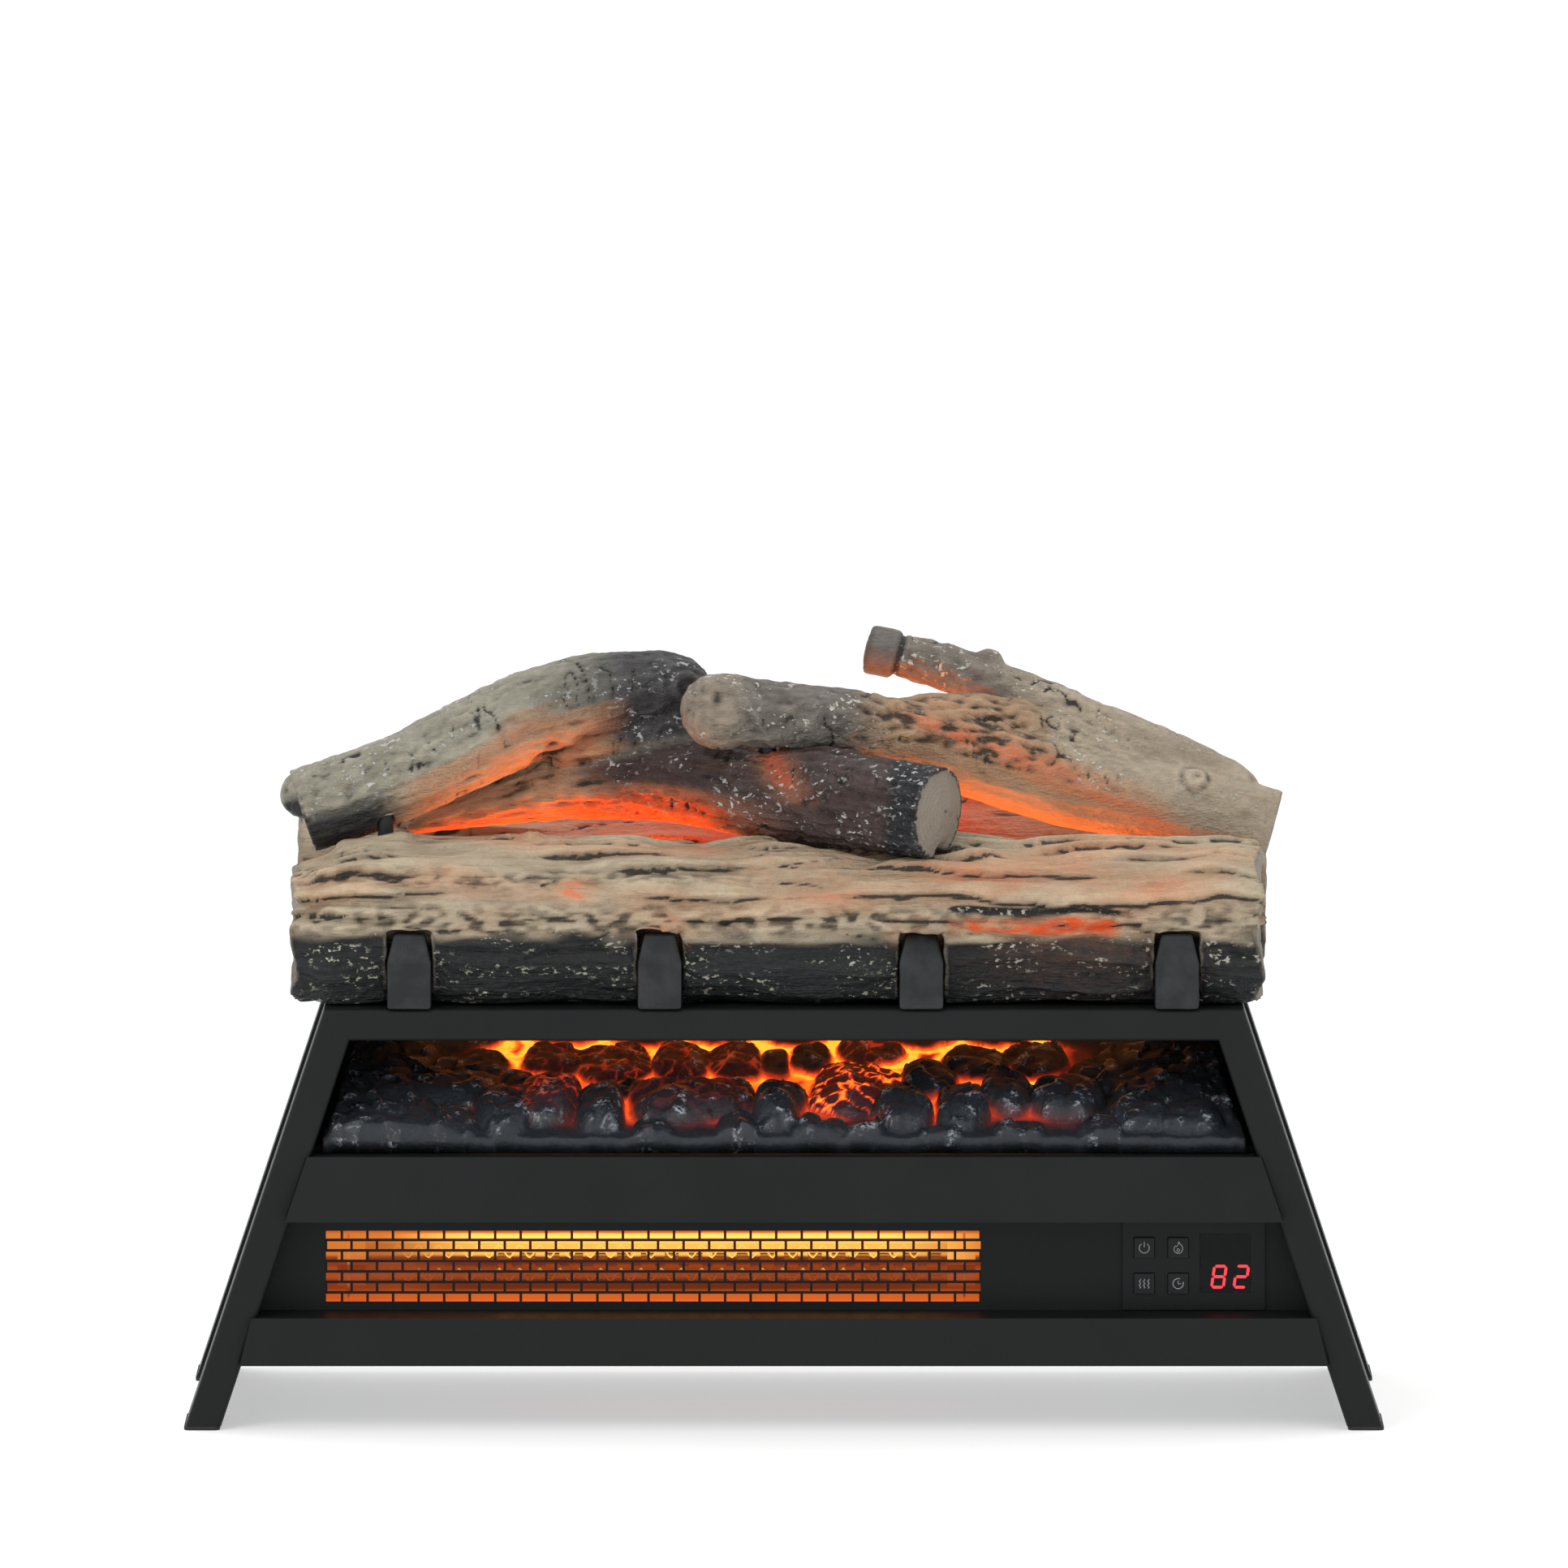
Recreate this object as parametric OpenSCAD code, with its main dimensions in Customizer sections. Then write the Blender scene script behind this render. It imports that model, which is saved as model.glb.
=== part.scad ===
// Free-standing electric log fire: a moulded log set on a splayed sheet-steel heater stand.
// X runs to the right, Y to the back and Z up, in millimetres.
// The origin is on the floor, below the middle of the whole fire.

/* [Stand] */
// Width across the feet
foot_w = 600; // [596:1:610]
// How far a leg leans inward for each millimetre of height
lean = 0.333; // [0.325:0.001:0.34]
// Depth over the four legs
stand_d = 230; // [228:1:232]
// Height of the deck that the logs stand on
deck_z = 212; // [210:1:214]
// Width of a leg's front face, square to the leg
leg_face = 17; // [16:0.5:18]
// Depth of a leg's side flange
leg_side = 50; // [40:1:60]
// Sheet thickness of the legs, the rails and the deck
sheet = 1.5; // [1.2:0.1:1.6]
// Sheet thickness of the panels and strips
skin = 1.2; // [1:0.1:1.3]
// Thickness of the pad under each foot
pad_t = 2; // [1.5:0.1:3]

/* [Heater] */
// Spacing of the openings along a row of the outlet grille
brick_w = 12.8; // [12:0.1:14]
// Spacing of the rows of the outlet grille
brick_h = 5.3; // [5:0.1:5.4]
// Width of the bars between the openings
bar_w = 1.3; // [1:0.1:1.8]
// Outer diameter of a quartz tube
tube_d = 10; // [8:0.5:11]
// Outer diameter of the blower wheel
wheel_d = 40; // [36:1:42]
// Number of blades on the blower wheel
blades = 24; // [16:1:30]

/* [Controls] */
// Side of a square key
key_w = 10; // [9:0.5:11]
// How far a key presses in
key_travel = 0.8; // [0.4:0.1:0.9]
// Height of the digits on the display
digit_h = 11.8; // [10:0.1:12.5]

/* [Embers and logs] */
// Slope of the ember bed, as rise over run
bed_slope = 0.355; // [0.33:0.005:0.37]
// Height of the coals over the bed
coal_h = 11; // [6:1:13]
// Radius of the rear log
rear_r = 44; // [42:0.5:45]
// Width of a grate finger
finger_w = 22; // [18:1:24]

/* [Hidden] */
$fn = 48;

steel_black = "#2b2f2f";
bare_steel = "#b9bcc0";

// Stand
splay = atan(lean);
front_y = -stand_d / 2;
leg_x = leg_face / cos(splay);
bend = 2.5;
front_lip = 14;
rear_lip = 10;
rail_h = 16;
rail_top_d = 30;
far = 400;
panel_in = (sheet + skin) / cos(splay) + 0.5;
back_y = stand_d / 2 - rear_lip;
base_z = 32;
shelf_z = 104;

// Half the width of the stand at a height
function half_w(z) = foot_w / 2 - lean * z;

mitre_out = [half_w(deck_z), deck_z];
mitre_in = [half_w(deck_z - rail_h) - leg_x, deck_z - rail_h];
mitre_run = mitre_in - mitre_out;

// Brow and lower strip
brow_top = 138;
brow_low = 106;
brow_out_top = 2;
brow_out_low = 9;
brow_half_top = 238;
brow_half_low = 249;
strip_top = 57;
strip_low = 33;
strip_out = 4;
strip_half_top = 266;
strip_half_low = 272;

// Heater
panel_y = -87;
panel_back = panel_y + skin;
grille_x0 = -229.5;
grille_x1 = 98.5;
grille_z0 = 60.4;
grille_rows = 7;
grille_t = 1;
trough_y = panel_back + grille_t;
trough_x0 = -236;
trough_x1 = 102;
trough_z = [58, 99.6];
trough_t = 0.8;
tube_y = -70;
tube_z = [84.5, 72.5];
tube_x0 = -218;
tube_x1 = 90;
cap_d = 11;
wheel_y = 5;
wheel_z = 70;
wheel_x0 = -146;
wheel_x1 = 93;
scroll_r = 27;
duct_back = -50;
run_fit = 0.05;

// Controls
fascia_x = [169.5, 241];
fascia_z = [57.3, 104];
fascia_t = 2;
fascia_y = panel_y - fascia_t;
key_x = [180.4, 197.4];
key_z = [88.8, 70.8];
lens_x = [208.3, 233.7];
lens_z = [66, 95.6];
board_y = -80.2;
board_t = 1.6;
board_post_r = 1.5;
panel_hole_x = [fascia_x[0] + 4, fascia_x[1] - 4];
panel_hole_z = [fascia_z[0] + 5, fascia_z[1] - 3];
digit_mid = [223.5, 73.8];
digit_pitch = 11.2;

// Light chamber
shelf_top = shelf_z + skin;
bed_y0 = -105;
bed_y1 = 20;
bed_z0 = 145.6;
bed_t = 7;
rotor_y = -20;
rotor_z = 126;
rotor_r = 18.5;
rotor_shaft_r = 2.5;

// Cord entry
gland_x = 230;
gland_z = 60;
gland_bore_r = 3.75;

// Height of the ember bed's base surface at a depth
function bed_z(y) = bed_z0 + (y - bed_y0) * bed_slope;

// Points of a round corner
function corner(c, r, a0, a1) =
    [for (i = [0:4]) let (a = a0 + (a1 - a0) * i / 4) c + r * [cos(a), sin(a)]];

function unit(v) = v / norm(v);
function mean(v) = [for (i = [0:len(v) - 1]) 1] * v / len(v);

// One Catmull-Rom step between b and c
function blend(a, b, c, d, t) =
    0.5 * (2 * b + (c - a) * t + (2 * a - 5 * b + 4 * c - d) * t * t
    + (3 * b - a - 3 * c + d) * t * t * t);

// A smooth open path through hand-set points, with m steps between them
function spline(p, m) = let (e = len(p) - 1) concat(
    [for (i = [0:e - 1], s = [0:m - 1])
        blend(p[max(i - 1, 0)], p[i], p[i + 1], p[min(i + 2, e)], s / m)],
    [p[e]]);

// A smooth closed outline through hand-set points, with m steps between them
function loop(p, m) = let (n = len(p))
    [for (i = [0:n - 1], s = [0:m - 1])
        blend(p[(i + n - 1) % n], p[i], p[(i + 1) % n], p[(i + 2) % n], s / m)];

// Extrudes an outline drawn in X and Z from depth y0 to depth y1
module along_y(y0, y1) {
    translate([0, y1, 0]) rotate([90, 0, 0]) linear_extrude(y1 - y0) children();
}

// Extrudes an outline drawn in Y and Z from x0 to x1
module along_x(x0, x1) {
    translate([x0, 0, 0]) rotate([90, 0, 90]) linear_extrude(x1 - x0) children();
}

// A box between two corners
module block(a, b) {
    translate(a) cube(b - a);
}

// A round bar along X
module bar_x(x0, x1, y, z, r) {
    translate([x0, y, z]) rotate([0, 90, 0]) cylinder(h = x1 - x0, r = r);
}

// A round bar along Y
module bar_y(x, z, y0, y1, r) {
    translate([x, y1, z]) rotate([90, 0, 0]) cylinder(h = y1 - y0, r = r);
}

// A closed skin over rings of points, with a fan at each end
module loft(rings) {
    m = len(rings);
    n = len(rings[0]);
    points = concat([for (r = rings) each r], [mean(rings[0]), mean(rings[m - 1])]);
    sides = [for (i = [0:m - 2], j = [0:n - 1]) let (a = i * n + j, b = i * n + (j + 1) % n)
        each [[a, a + n, b], [b, a + n, b + n]]];
    ends = [for (j = [0:n - 1]) let (k = (j + 1) % n)
        each [[m * n, j, k], [m * n + 1, (m - 1) * n + k, (m - 1) * n + j]]];
    polyhedron(points, concat(sides, ends));
}

// A channel bent from sheet: its face runs along X, and its flanges run back along Y
module channel(face, side_a, side_b) {
    polygon(concat(
        [[0, side_a]],
        corner([bend, bend], bend, 180, 270),
        corner([face - bend, bend], bend, 270, 360),
        [[face, side_b], [face - sheet, side_b]],
        corner([face - bend, bend], bend - sheet, 360, 270),
        corner([bend, bend], bend - sheet, 270, 180),
        [[sheet, side_a]]));
}

// ---- Stand ----

// The front right leg; the others are its mirror images
module leg(lip) {
    color(steel_black) intersection() {
        translate([foot_w / 2, front_y, 0]) rotate([0, -splay, 0]) translate([0, 0, -bend * 16])
            linear_extrude(far) mirror([1, 0]) channel(leg_face, leg_side, lip);
        along_y(-far, far) polygon([
            mitre_out - mitre_run, mitre_out + 3 * mitre_run,
            [mitre_out.x + 3 * mitre_run.x, pad_t], [foot_w, pad_t],
            [foot_w, mitre_out.y - mitre_run.y]]);
    }
}

module front_leg_right() leg(front_lip);
module front_leg_left() mirror([1, 0, 0]) leg(front_lip);
module rear_leg_right() mirror([0, 1, 0]) leg(rear_lip);
module rear_leg_left() mirror([1, 0, 0]) mirror([0, 1, 0]) leg(rear_lip);

module top_rail(lip) {
    color(steel_black) intersection() {
        along_x(-far, far) translate([front_y, deck_z]) rotate(-90) channel(rail_h, rail_top_d, lip);
        along_y(-far, far) polygon([
            [-mitre_out.x, mitre_out.y], mitre_out, mitre_in, [-mitre_in.x, mitre_in.y]]);
    }
}

module front_top_rail() top_rail(front_lip);
module rear_top_rail() mirror([0, 1, 0]) top_rail(rear_lip);

module foot_pads() {
    r = 3;
    w = leg_x - r;
    d = leg_side - r;
    color("#151617") for (left = [0, 1], rear = [0, 1])
        mirror([left, 0, 0]) mirror([0, rear, 0]) translate([foot_w / 2 - leg_x, front_y, 0])
            linear_extrude(pad_t) polygon(concat(
                corner([w, r], r, -90, 0), corner([w, d], r, 0, 90),
                corner([r, d], r, 90, 180), corner([r, r], r, 180, 270)));
}

glow_x = 180;
glow_y = [-26, 18];

module top_deck() {
    deck_half = half_w(deck_z) - 2;
    edge = stand_d / 2 - rail_top_d;
    color(steel_black) difference() {
        union() {
            block([-deck_half, -edge, deck_z - sheet], [deck_half, edge, deck_z]);
            for (s = [-1, 1]) translate([0, s * edge, 0])
                block([-deck_half + 12, -8, deck_z - 2 * sheet], [deck_half - 12, 8, deck_z - sheet]);
        }
        block([-glow_x, glow_y[0], deck_z - 10], [glow_x, glow_y[1], deck_z + 1]);
    }
}

module glow_window() {
    color("#e8a45c") block([-glow_x - 6, glow_y[0] - 6, deck_z - 2 * sheet],
        [glow_x + 6, glow_y[1] + 6, deck_z - sheet]);
}

module side_panel() {
    z0 = 8;
    z1 = deck_z - 4;
    out = sheet / cos(splay) + 0.1;
    in = (sheet + skin) / cos(splay) + 0.1;
    color(steel_black) along_y(-back_y, back_y) polygon([
        [half_w(z0) - out, z0], [half_w(z1) - out, z1], [half_w(z1) - in, z1], [half_w(z0) - in, z0]]);
}

module right_side_panel() side_panel();
module left_side_panel() mirror([1, 0, 0]) side_panel();

// The outline of a panel that spans the stand between two heights
module span_outline(z0, z1) {
    polygon([
        [panel_in - half_w(z0), z0], [half_w(z0) - panel_in, z0],
        [half_w(z1) - panel_in, z1], [panel_in - half_w(z1), z1]]);
}

window_x = 170;
window_z = [122, 198];

module back_panel() {
    vent_pitch = 12;
    color(steel_black) along_y(back_y - skin, back_y) difference() {
        span_outline(base_z + skin + 0.5, deck_z - 4);
        translate([-window_x, window_z[0]]) square([2 * window_x, window_z[1] - window_z[0]]);
        for (i = [-8:8], k = [0:2]) translate([i * vent_pitch - 3, 52 + k * 17]) square([5, 13]);
        translate([gland_x, gland_z]) circle(6 + run_fit);
    }
}

module projection_window() {
    color("#9fb3bd") block([-window_x - 6, back_y - skin - 1.5, window_z[0] - 6],
        [window_x + 6, back_y - skin, window_z[1] + 4]);
}

module base_pan() {
    half = half_w(base_z + 12) - panel_in;
    front_half = half_w(strip_top) - panel_in;
    y1 = back_y - skin - 0.3;
    wall_z = base_z + 10;
    color("#3a3d3e") difference() {
        union() {
            block([-half, panel_back - 1, base_z], [half, y1, base_z + skin]);
            block([-front_half, panel_back - 1, base_z],
                [front_half, panel_back - 1 + skin, strip_top - skin]);
            block([-half, y1 - skin, base_z], [half, y1, wall_z]);
            for (s = [-1, 1]) translate([s * (half - skin / 2), 0, 0])
                block([-skin / 2, panel_back - 1, base_z], [skin / 2, y1, wall_z]);
        }
        for (i = [-6:6]) block([i * 24 - 15, -40, base_z - 1], [i * 24 - 7, -22, base_z + 2]);
        for (i = [-6:6]) block([i * 24 - 15, 45, base_z - 1], [i * 24 - 7, 75, base_z + 2]);
    }
}

module front_panel() {
    color(steel_black) along_y(panel_y, panel_back) difference() {
        span_outline(strip_top, 140);
        translate([grille_x0, grille_z0]) square([grille_x1 - grille_x0, grille_rows * brick_h]);
        translate([panel_hole_x[0], panel_hole_z[0]])
            square([panel_hole_x[1] - panel_hole_x[0], panel_hole_z[1] - panel_hole_z[0]]);
    }
}

// A shallow tray, open at the back, whose face leans from depth out_top to out_low
module fascia_tray(top, low, half_top, half_low, out_top, out_low) {
    difference() {
        intersection() {
            along_x(-far, far) polygon([
                [front_y, top], [front_y - out_top, top], [front_y - out_low, low], [front_y, low]]);
            along_y(-far, far) polygon([
                [-half_top, top], [half_top, top], [half_low, low], [-half_low, low]]);
        }
        intersection() {
            along_x(-far, far) polygon([
                [front_y + 1, top - skin], [front_y + skin - out_top, top - skin],
                [front_y + skin - out_low, low + skin], [front_y + 1, low + skin]]);
            along_y(-far, far) polygon([
                [skin - half_top, top - skin], [half_top - skin, top - skin],
                [half_low - skin, low + skin], [skin - half_low, low + skin]]);
        }
    }
}

module brow_strip() {
    top_half = half_w(brow_top) - leg_x - 0.6;
    low_half = half_w(brow_low + skin) - leg_x - 0.6;
    color(steel_black) union() {
        fascia_tray(brow_top, brow_low, brow_half_top, brow_half_low, brow_out_top, brow_out_low);
        block([-top_half, front_y - 0.5, brow_top - skin], [top_half, front_y + front_lip, brow_top]);
        block([-low_half, front_y - 6, brow_low], [low_half, panel_y, brow_low + skin]);
    }
}

module lower_strip() {
    top_half = half_w(strip_top) - leg_x - 0.6;
    low_half = half_w(strip_low + skin) - leg_x - 0.6;
    color(steel_black) union() {
        fascia_tray(strip_top, strip_low, strip_half_top, strip_half_low, strip_out, strip_out);
        block([-top_half, front_y - 1, strip_top - skin], [top_half, panel_back, strip_top]);
        block([-low_half, front_y - 1, strip_low], [low_half, front_y + 20, strip_low + skin]);
    }
}

module case_screws() {
    spots = [for (s = [-1, 1], z = [42, 110, 204]) [s * (half_w(z) - leg_x - 12), z]];
    color(bare_steel) for (p = spots) difference() {
        bar_y(p.x, p.y, back_y, back_y + 2.2, 3.6);
        along_y(back_y + 1.2, back_y + 3) translate(p) for (a = [0, 90]) rotate(a)
            square([4.4, 1], center = true);
    }
}

// ---- Heater ----

module heater_grille() {
    rim = 3;
    hole = [brick_w - bar_w, brick_h - bar_w];
    columns = floor((grille_x1 - grille_x0) / brick_w);
    short = (grille_x1 - grille_x0) - columns * brick_w;
    color("#181a1a") along_y(panel_back, trough_y) difference() {
        translate([grille_x0 - rim, grille_z0 - 1.3])
            square([grille_x1 - grille_x0 + 2 * rim, grille_rows * brick_h + 2.6]);
        for (k = [0:grille_rows - 1]) translate([grille_x0, grille_z0 + k * brick_h + bar_w / 2]) {
            odd = k % 2;
            for (i = [0:columns - 1])
                translate([i * brick_w + bar_w / 2 + (odd == 0 ? short : 0), 0]) square(hole);
            translate([odd == 0 ? 0 : columns * brick_w + bar_w / 2, 0])
                square([short - bar_w / 2, hole.y]);
        }
    }
}

module trough_outline(d) {
    polygon([
        [trough_y - d * 9, trough_z[0] + d], [-60 - d / 3, trough_z[0] + d], [duct_back - d, 66 + d / 3],
        [duct_back - d, 89 - d / 3], [-60 - d / 3, trough_z[1] - d], [trough_y - d * 9, trough_z[1] - d]]);
}

module reflector() {
    color("#c9c4b8") difference() {
        along_x(trough_x0, trough_x1) trough_outline(0);
        along_x(trough_x0 + trough_t, trough_x1 - trough_t) trough_outline(trough_t);
        for (i = [0:19]) translate([wheel_x0 + 2 + i * 12, duct_back - 2, 69]) cube([7, 3, 17]);
    }
}

module quartz_tubes() {
    color("#ffd9a0") for (z = tube_z) difference() {
        bar_x(tube_x0, tube_x1, tube_y, z, tube_d / 2);
        bar_x(tube_x0 - 1, tube_x1 + 1, tube_y, z, tube_d / 2 - 1);
    }
}

module heating_coils() {
    turns = 26;
    steps = 8;
    x0 = tube_x0 + 22;
    pitch = (tube_x1 - tube_x0 - 44) / turns;
    coil_r = tube_d / 2 - 1.9;
    wire_r = 0.5;
    color("#ffb347") for (z = tube_z) loft([for (i = [0:turns * steps])
        let (a = i * 360 / steps) [for (j = [0:3]) let (b = j * 90)
            [x0 + pitch * i / steps + wire_r * sin(b),
            tube_y + (coil_r + wire_r * cos(b)) * cos(a), z + (coil_r + wire_r * cos(b)) * sin(a)]]]);
}

module tube_end_caps() {
    color("#e9e4d6") for (z = tube_z, end = [0, 1]) {
        x = end == 0 ? tube_x0 - 6 : tube_x1 - 8;
        stop_x = end == 0 ? tube_x0 : tube_x1;
        difference() {
            bar_x(x, x + 14, tube_y, z, cap_d / 2);
            bar_x(end == 0 ? stop_x : x - 1, end == 0 ? x + 15 : stop_x, tube_y, z, tube_d / 2 + run_fit);
        }
    }
}

module tube_brackets() {
    z0 = trough_z[0] + trough_t + 0.1;
    color(bare_steel) for (x = [tube_x0 - 1, tube_x1 - 0.2]) difference() {
        union() {
            block([x, -80, z0], [x + skin, -61.5, trough_z[1] - 2]);
            block([x, -80, z0], [x + 8, -62, z0 + 1]);
        }
        for (z = tube_z) bar_x(x - 1, x + 3, tube_y, z, cap_d / 2 + run_fit);
    }
}

module thermal_cutout() {
    z = 78;
    color("#d8d2c4") union() {
        bar_x(trough_x0 - 5, trough_x0, tube_y, z, 7);
        bar_x(trough_x0 - 7, trough_x0 - 5, tube_y, z, 5.4);
        block([trough_x0 - 0.8, tube_y - 12, z - 3], [trough_x0, tube_y + 10, z + 3]);
        for (s = [-1, 1]) block([trough_x0 - 12, tube_y - 2, z + s * 4 - 0.4],
            [trough_x0 - 6, tube_y + 2, z + s * 4 + 0.4]);
    }
}

module scroll_outline(d) {
    translate([wheel_y, wheel_z]) circle(scroll_r - d);
    translate([duct_back - (d > 0 ? 1 : 0), 57.5 + d])
        square([wheel_y - duct_back + (d > 0 ? 1 : 0), wheel_z + scroll_r - 57.5 - 2 * d]);
}

module blower_housing() {
    x0 = wheel_x0 - 6;
    x1 = wheel_x1 + 5;
    color("#8f9496") union() {
        along_x(x0, x1) difference() {
            scroll_outline(0);
            scroll_outline(1);
            translate([16, 52]) square([30, 34]);
        }
        for (x = [x0 - 1, x1]) along_x(x, x + 1) difference() {
            union() {
                scroll_outline(0);
                translate([-14, base_z + skin]) square([38, 30]);
            }
            translate([wheel_y, wheel_z]) circle(8 + run_fit);
        }
    }
}

module blower_wheel() {
    r = wheel_d / 2;
    color("#a9adb0") difference() {
        union() {
            for (x = [wheel_x0, -26, wheel_x1 - 1]) bar_x(x, x + 1, wheel_y, wheel_z, r);
            bar_x(wheel_x1 - 12, wheel_x1, wheel_y, wheel_z, 6.5);
            translate([wheel_x0, wheel_y, wheel_z]) for (i = [0:blades - 1])
                rotate([i * 360 / blades, 0, 0]) translate([0, 0, r - 6.4]) rotate([35, 0, 0])
                    cube([wheel_x1 - wheel_x0, 0.7, 6.2]);
        }
        bar_x(wheel_x0 - 1, wheel_x1 + 1, wheel_y, wheel_z, 3 + run_fit / 2);
    }
}

module blower_shaft() {
    color(bare_steel) bar_x(wheel_x0 - 13, wheel_x1 + 26, wheel_y, wheel_z, 3);
}

module blower_bearing() {
    x0 = wheel_x0 - 12;
    color("#8a7346") difference() {
        union() {
            bar_x(x0, x0 + 6, wheel_y, wheel_z, 8);
            bar_x(x0, x0 + 5, wheel_y, wheel_z, 11);
        }
        bar_x(x0 - 1, x0 + 7, wheel_y, wheel_z, 3 + run_fit);
    }
}

module blower_motor() {
    x0 = wheel_x1 + 5;
    color("#5d6265") difference() {
        union() {
            bar_x(x0 + 0.1, x0 + 6, wheel_y, wheel_z, 8);
            bar_x(x0 + 3, x0 + 42, wheel_y, wheel_z, 24);
            bar_x(x0 + 42, x0 + 46, wheel_y, wheel_z, 9);
            block([x0 + 12, wheel_y - 16, base_z + skin], [x0 + 34, wheel_y + 16, wheel_z - 14]);
        }
        bar_x(x0 - 1, x0 + 24, wheel_y, wheel_z, 3 + run_fit);
    }
}

// ---- Controls ----

module control_fascia() {
    hole = key_w + 0.5;
    lens = [lens_x[1] - lens_x[0], lens_z[1] - lens_z[0]];
    color("#26292a") difference() {
        block([fascia_x[0], fascia_y, fascia_z[0]], [fascia_x[1], panel_y, fascia_z[1]]);
        along_y(fascia_y - 1, panel_y + 1) {
            for (x = key_x, z = key_z) translate([x, z]) square(hole, center = true);
            translate([lens_x[0] + 0.5, lens_z[0] + 0.5]) square(lens - [1, 1]);
        }
        along_y(fascia_y - 1, fascia_y + 1)
            translate([lens_x[0] - 0.05, lens_z[0] - 0.05]) square(lens + [0.1, 0.1]);
    }
}

// A square key with a flange behind the fascia and a stem to its switch
module key(x, z) {
    flange = key_w + 2.2;
    color("#232627") translate([x, 0, z]) union() {
        along_y(fascia_y - 1.6, panel_y + 1) square(key_w, center = true);
        along_y(panel_y + 0.3, panel_y + 1.3) square(flange, center = true);
        bar_y(0, 0, panel_y + 1, board_y - 3.9 - key_travel, 2);
    }
}

module key_power() key(key_x[0], key_z[0]);
module key_flame() key(key_x[1], key_z[0]);
module key_heat() key(key_x[0], key_z[1]);
module key_timer() key(key_x[1], key_z[1]);

module display_lens() {
    color("#3a3f42") block([lens_x[0], fascia_y, lens_z[0]], [lens_x[1], fascia_y + 1, lens_z[1]]);
}

module display_module() {
    color("#101112") block([211, panel_y + 0.3, 66.5], [236, board_y, 81]);
}

// The segments of a digit that are lit, counted a to g round the figure and then the middle
segments_of = [[1, 1, 1, 1, 1, 1, 1], [1, 1, 0, 1, 1, 0, 1]];

module digit(lit) {
    w = digit_h * 0.5;
    h = digit_h / 2 - 0.6;
    bar = 1.3;
    ends = [
        [[0, 2 * h], 0], [[w / 2, 1.5 * h], 90], [[w / 2, 0.5 * h], 90], [[0, 0], 0],
        [[-w / 2, 0.5 * h], 90], [[-w / 2, 1.5 * h], 90], [[0, h], 0]];
    for (i = [0:6]) if (lit[i] == 1) {
        p = ends[i][0];
        run = ends[i][1] == 0 ? w - 1.7 : h - 1.7;
        lean_x = (p.y - h) * 0.14;
        translate([p.x + lean_x, p.y - h]) rotate(ends[i][1] == 0 ? 0 : 82) polygon([
            [-run / 2, -bar / 2], [run / 2, -bar / 2], [run / 2 + 0.6, 0], [run / 2, bar / 2],
            [-run / 2, bar / 2], [-run / 2 - 0.6, 0]]);
    }
}

module display_digits() {
    color("#ff2a1a") along_y(panel_y + 0.1, panel_y + 0.3) for (i = [0, 1])
        translate([digit_mid.x + (i - 0.5) * digit_pitch, digit_mid.y]) digit(segments_of[i]);
}

module ir_receiver() {
    color("#2a1416") union() {
        block([217.5, board_y - 3.6, 85], [224.5, board_y, 92]);
        bar_y(221, 89, board_y - 5.2, board_y - 3.6, 2.6);
    }
}

module control_board() {
    posts = [for (x = [fascia_x[0] + 2.3, fascia_x[1] - 1.3], z = [64, 98]) [x, z]];
    color("#1f5b3a") union() {
        block([170, board_y, 60], [242.5, board_y + board_t, 101]);
        for (p = posts) bar_y(p.x, p.y, panel_back, board_y, board_post_r);
    }
}

module tact_switches() {
    color("#0f1011") for (x = key_x, z = key_z) union() {
        block([x - 3, board_y - 3, z - 3], [x + 3, board_y, z + 3]);
        bar_y(x, z, board_y - 3.8, board_y - 3, 1.7);
    }
}

// ---- Light chamber ----

module light_shelf() {
    half = half_w(shelf_top) - panel_in;
    color("#3a3d3e") block([-half, panel_back, shelf_z], [half, back_y - skin, shelf_top]);
}

coals = 46;

// A repeatable value from 0 to 1 for coal i and use k
function chance(i, k) = let (s = sin(i * 78.233 + k * 37.719) * 4375.85) s - floor(s);

// Each coal's middle, half-sizes and height, laid in rows that step sideways
coal_list = [for (i = [0:coals - 1]) let (row = i % 4, col = floor(i / 4)) [
    -214 + col * 39 + row * 13 + 14 * (chance(i, 1) - 0.5),
    -90 + row * 31 + 8 * (chance(i, 2) - 0.5),
    17 + 9 * chance(i, 3), 13 + 6 * chance(i, 4), coal_h * (0.55 + 0.45 * chance(i, 5))]];

function coal_rise(x, y, c) =
    let (u = (x - c[0]) / c[2], v = (y - c[1]) / c[3], q = 1 - u * u - v * v) q > 0 ? c[4] * sqrt(q) : 0;

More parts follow.
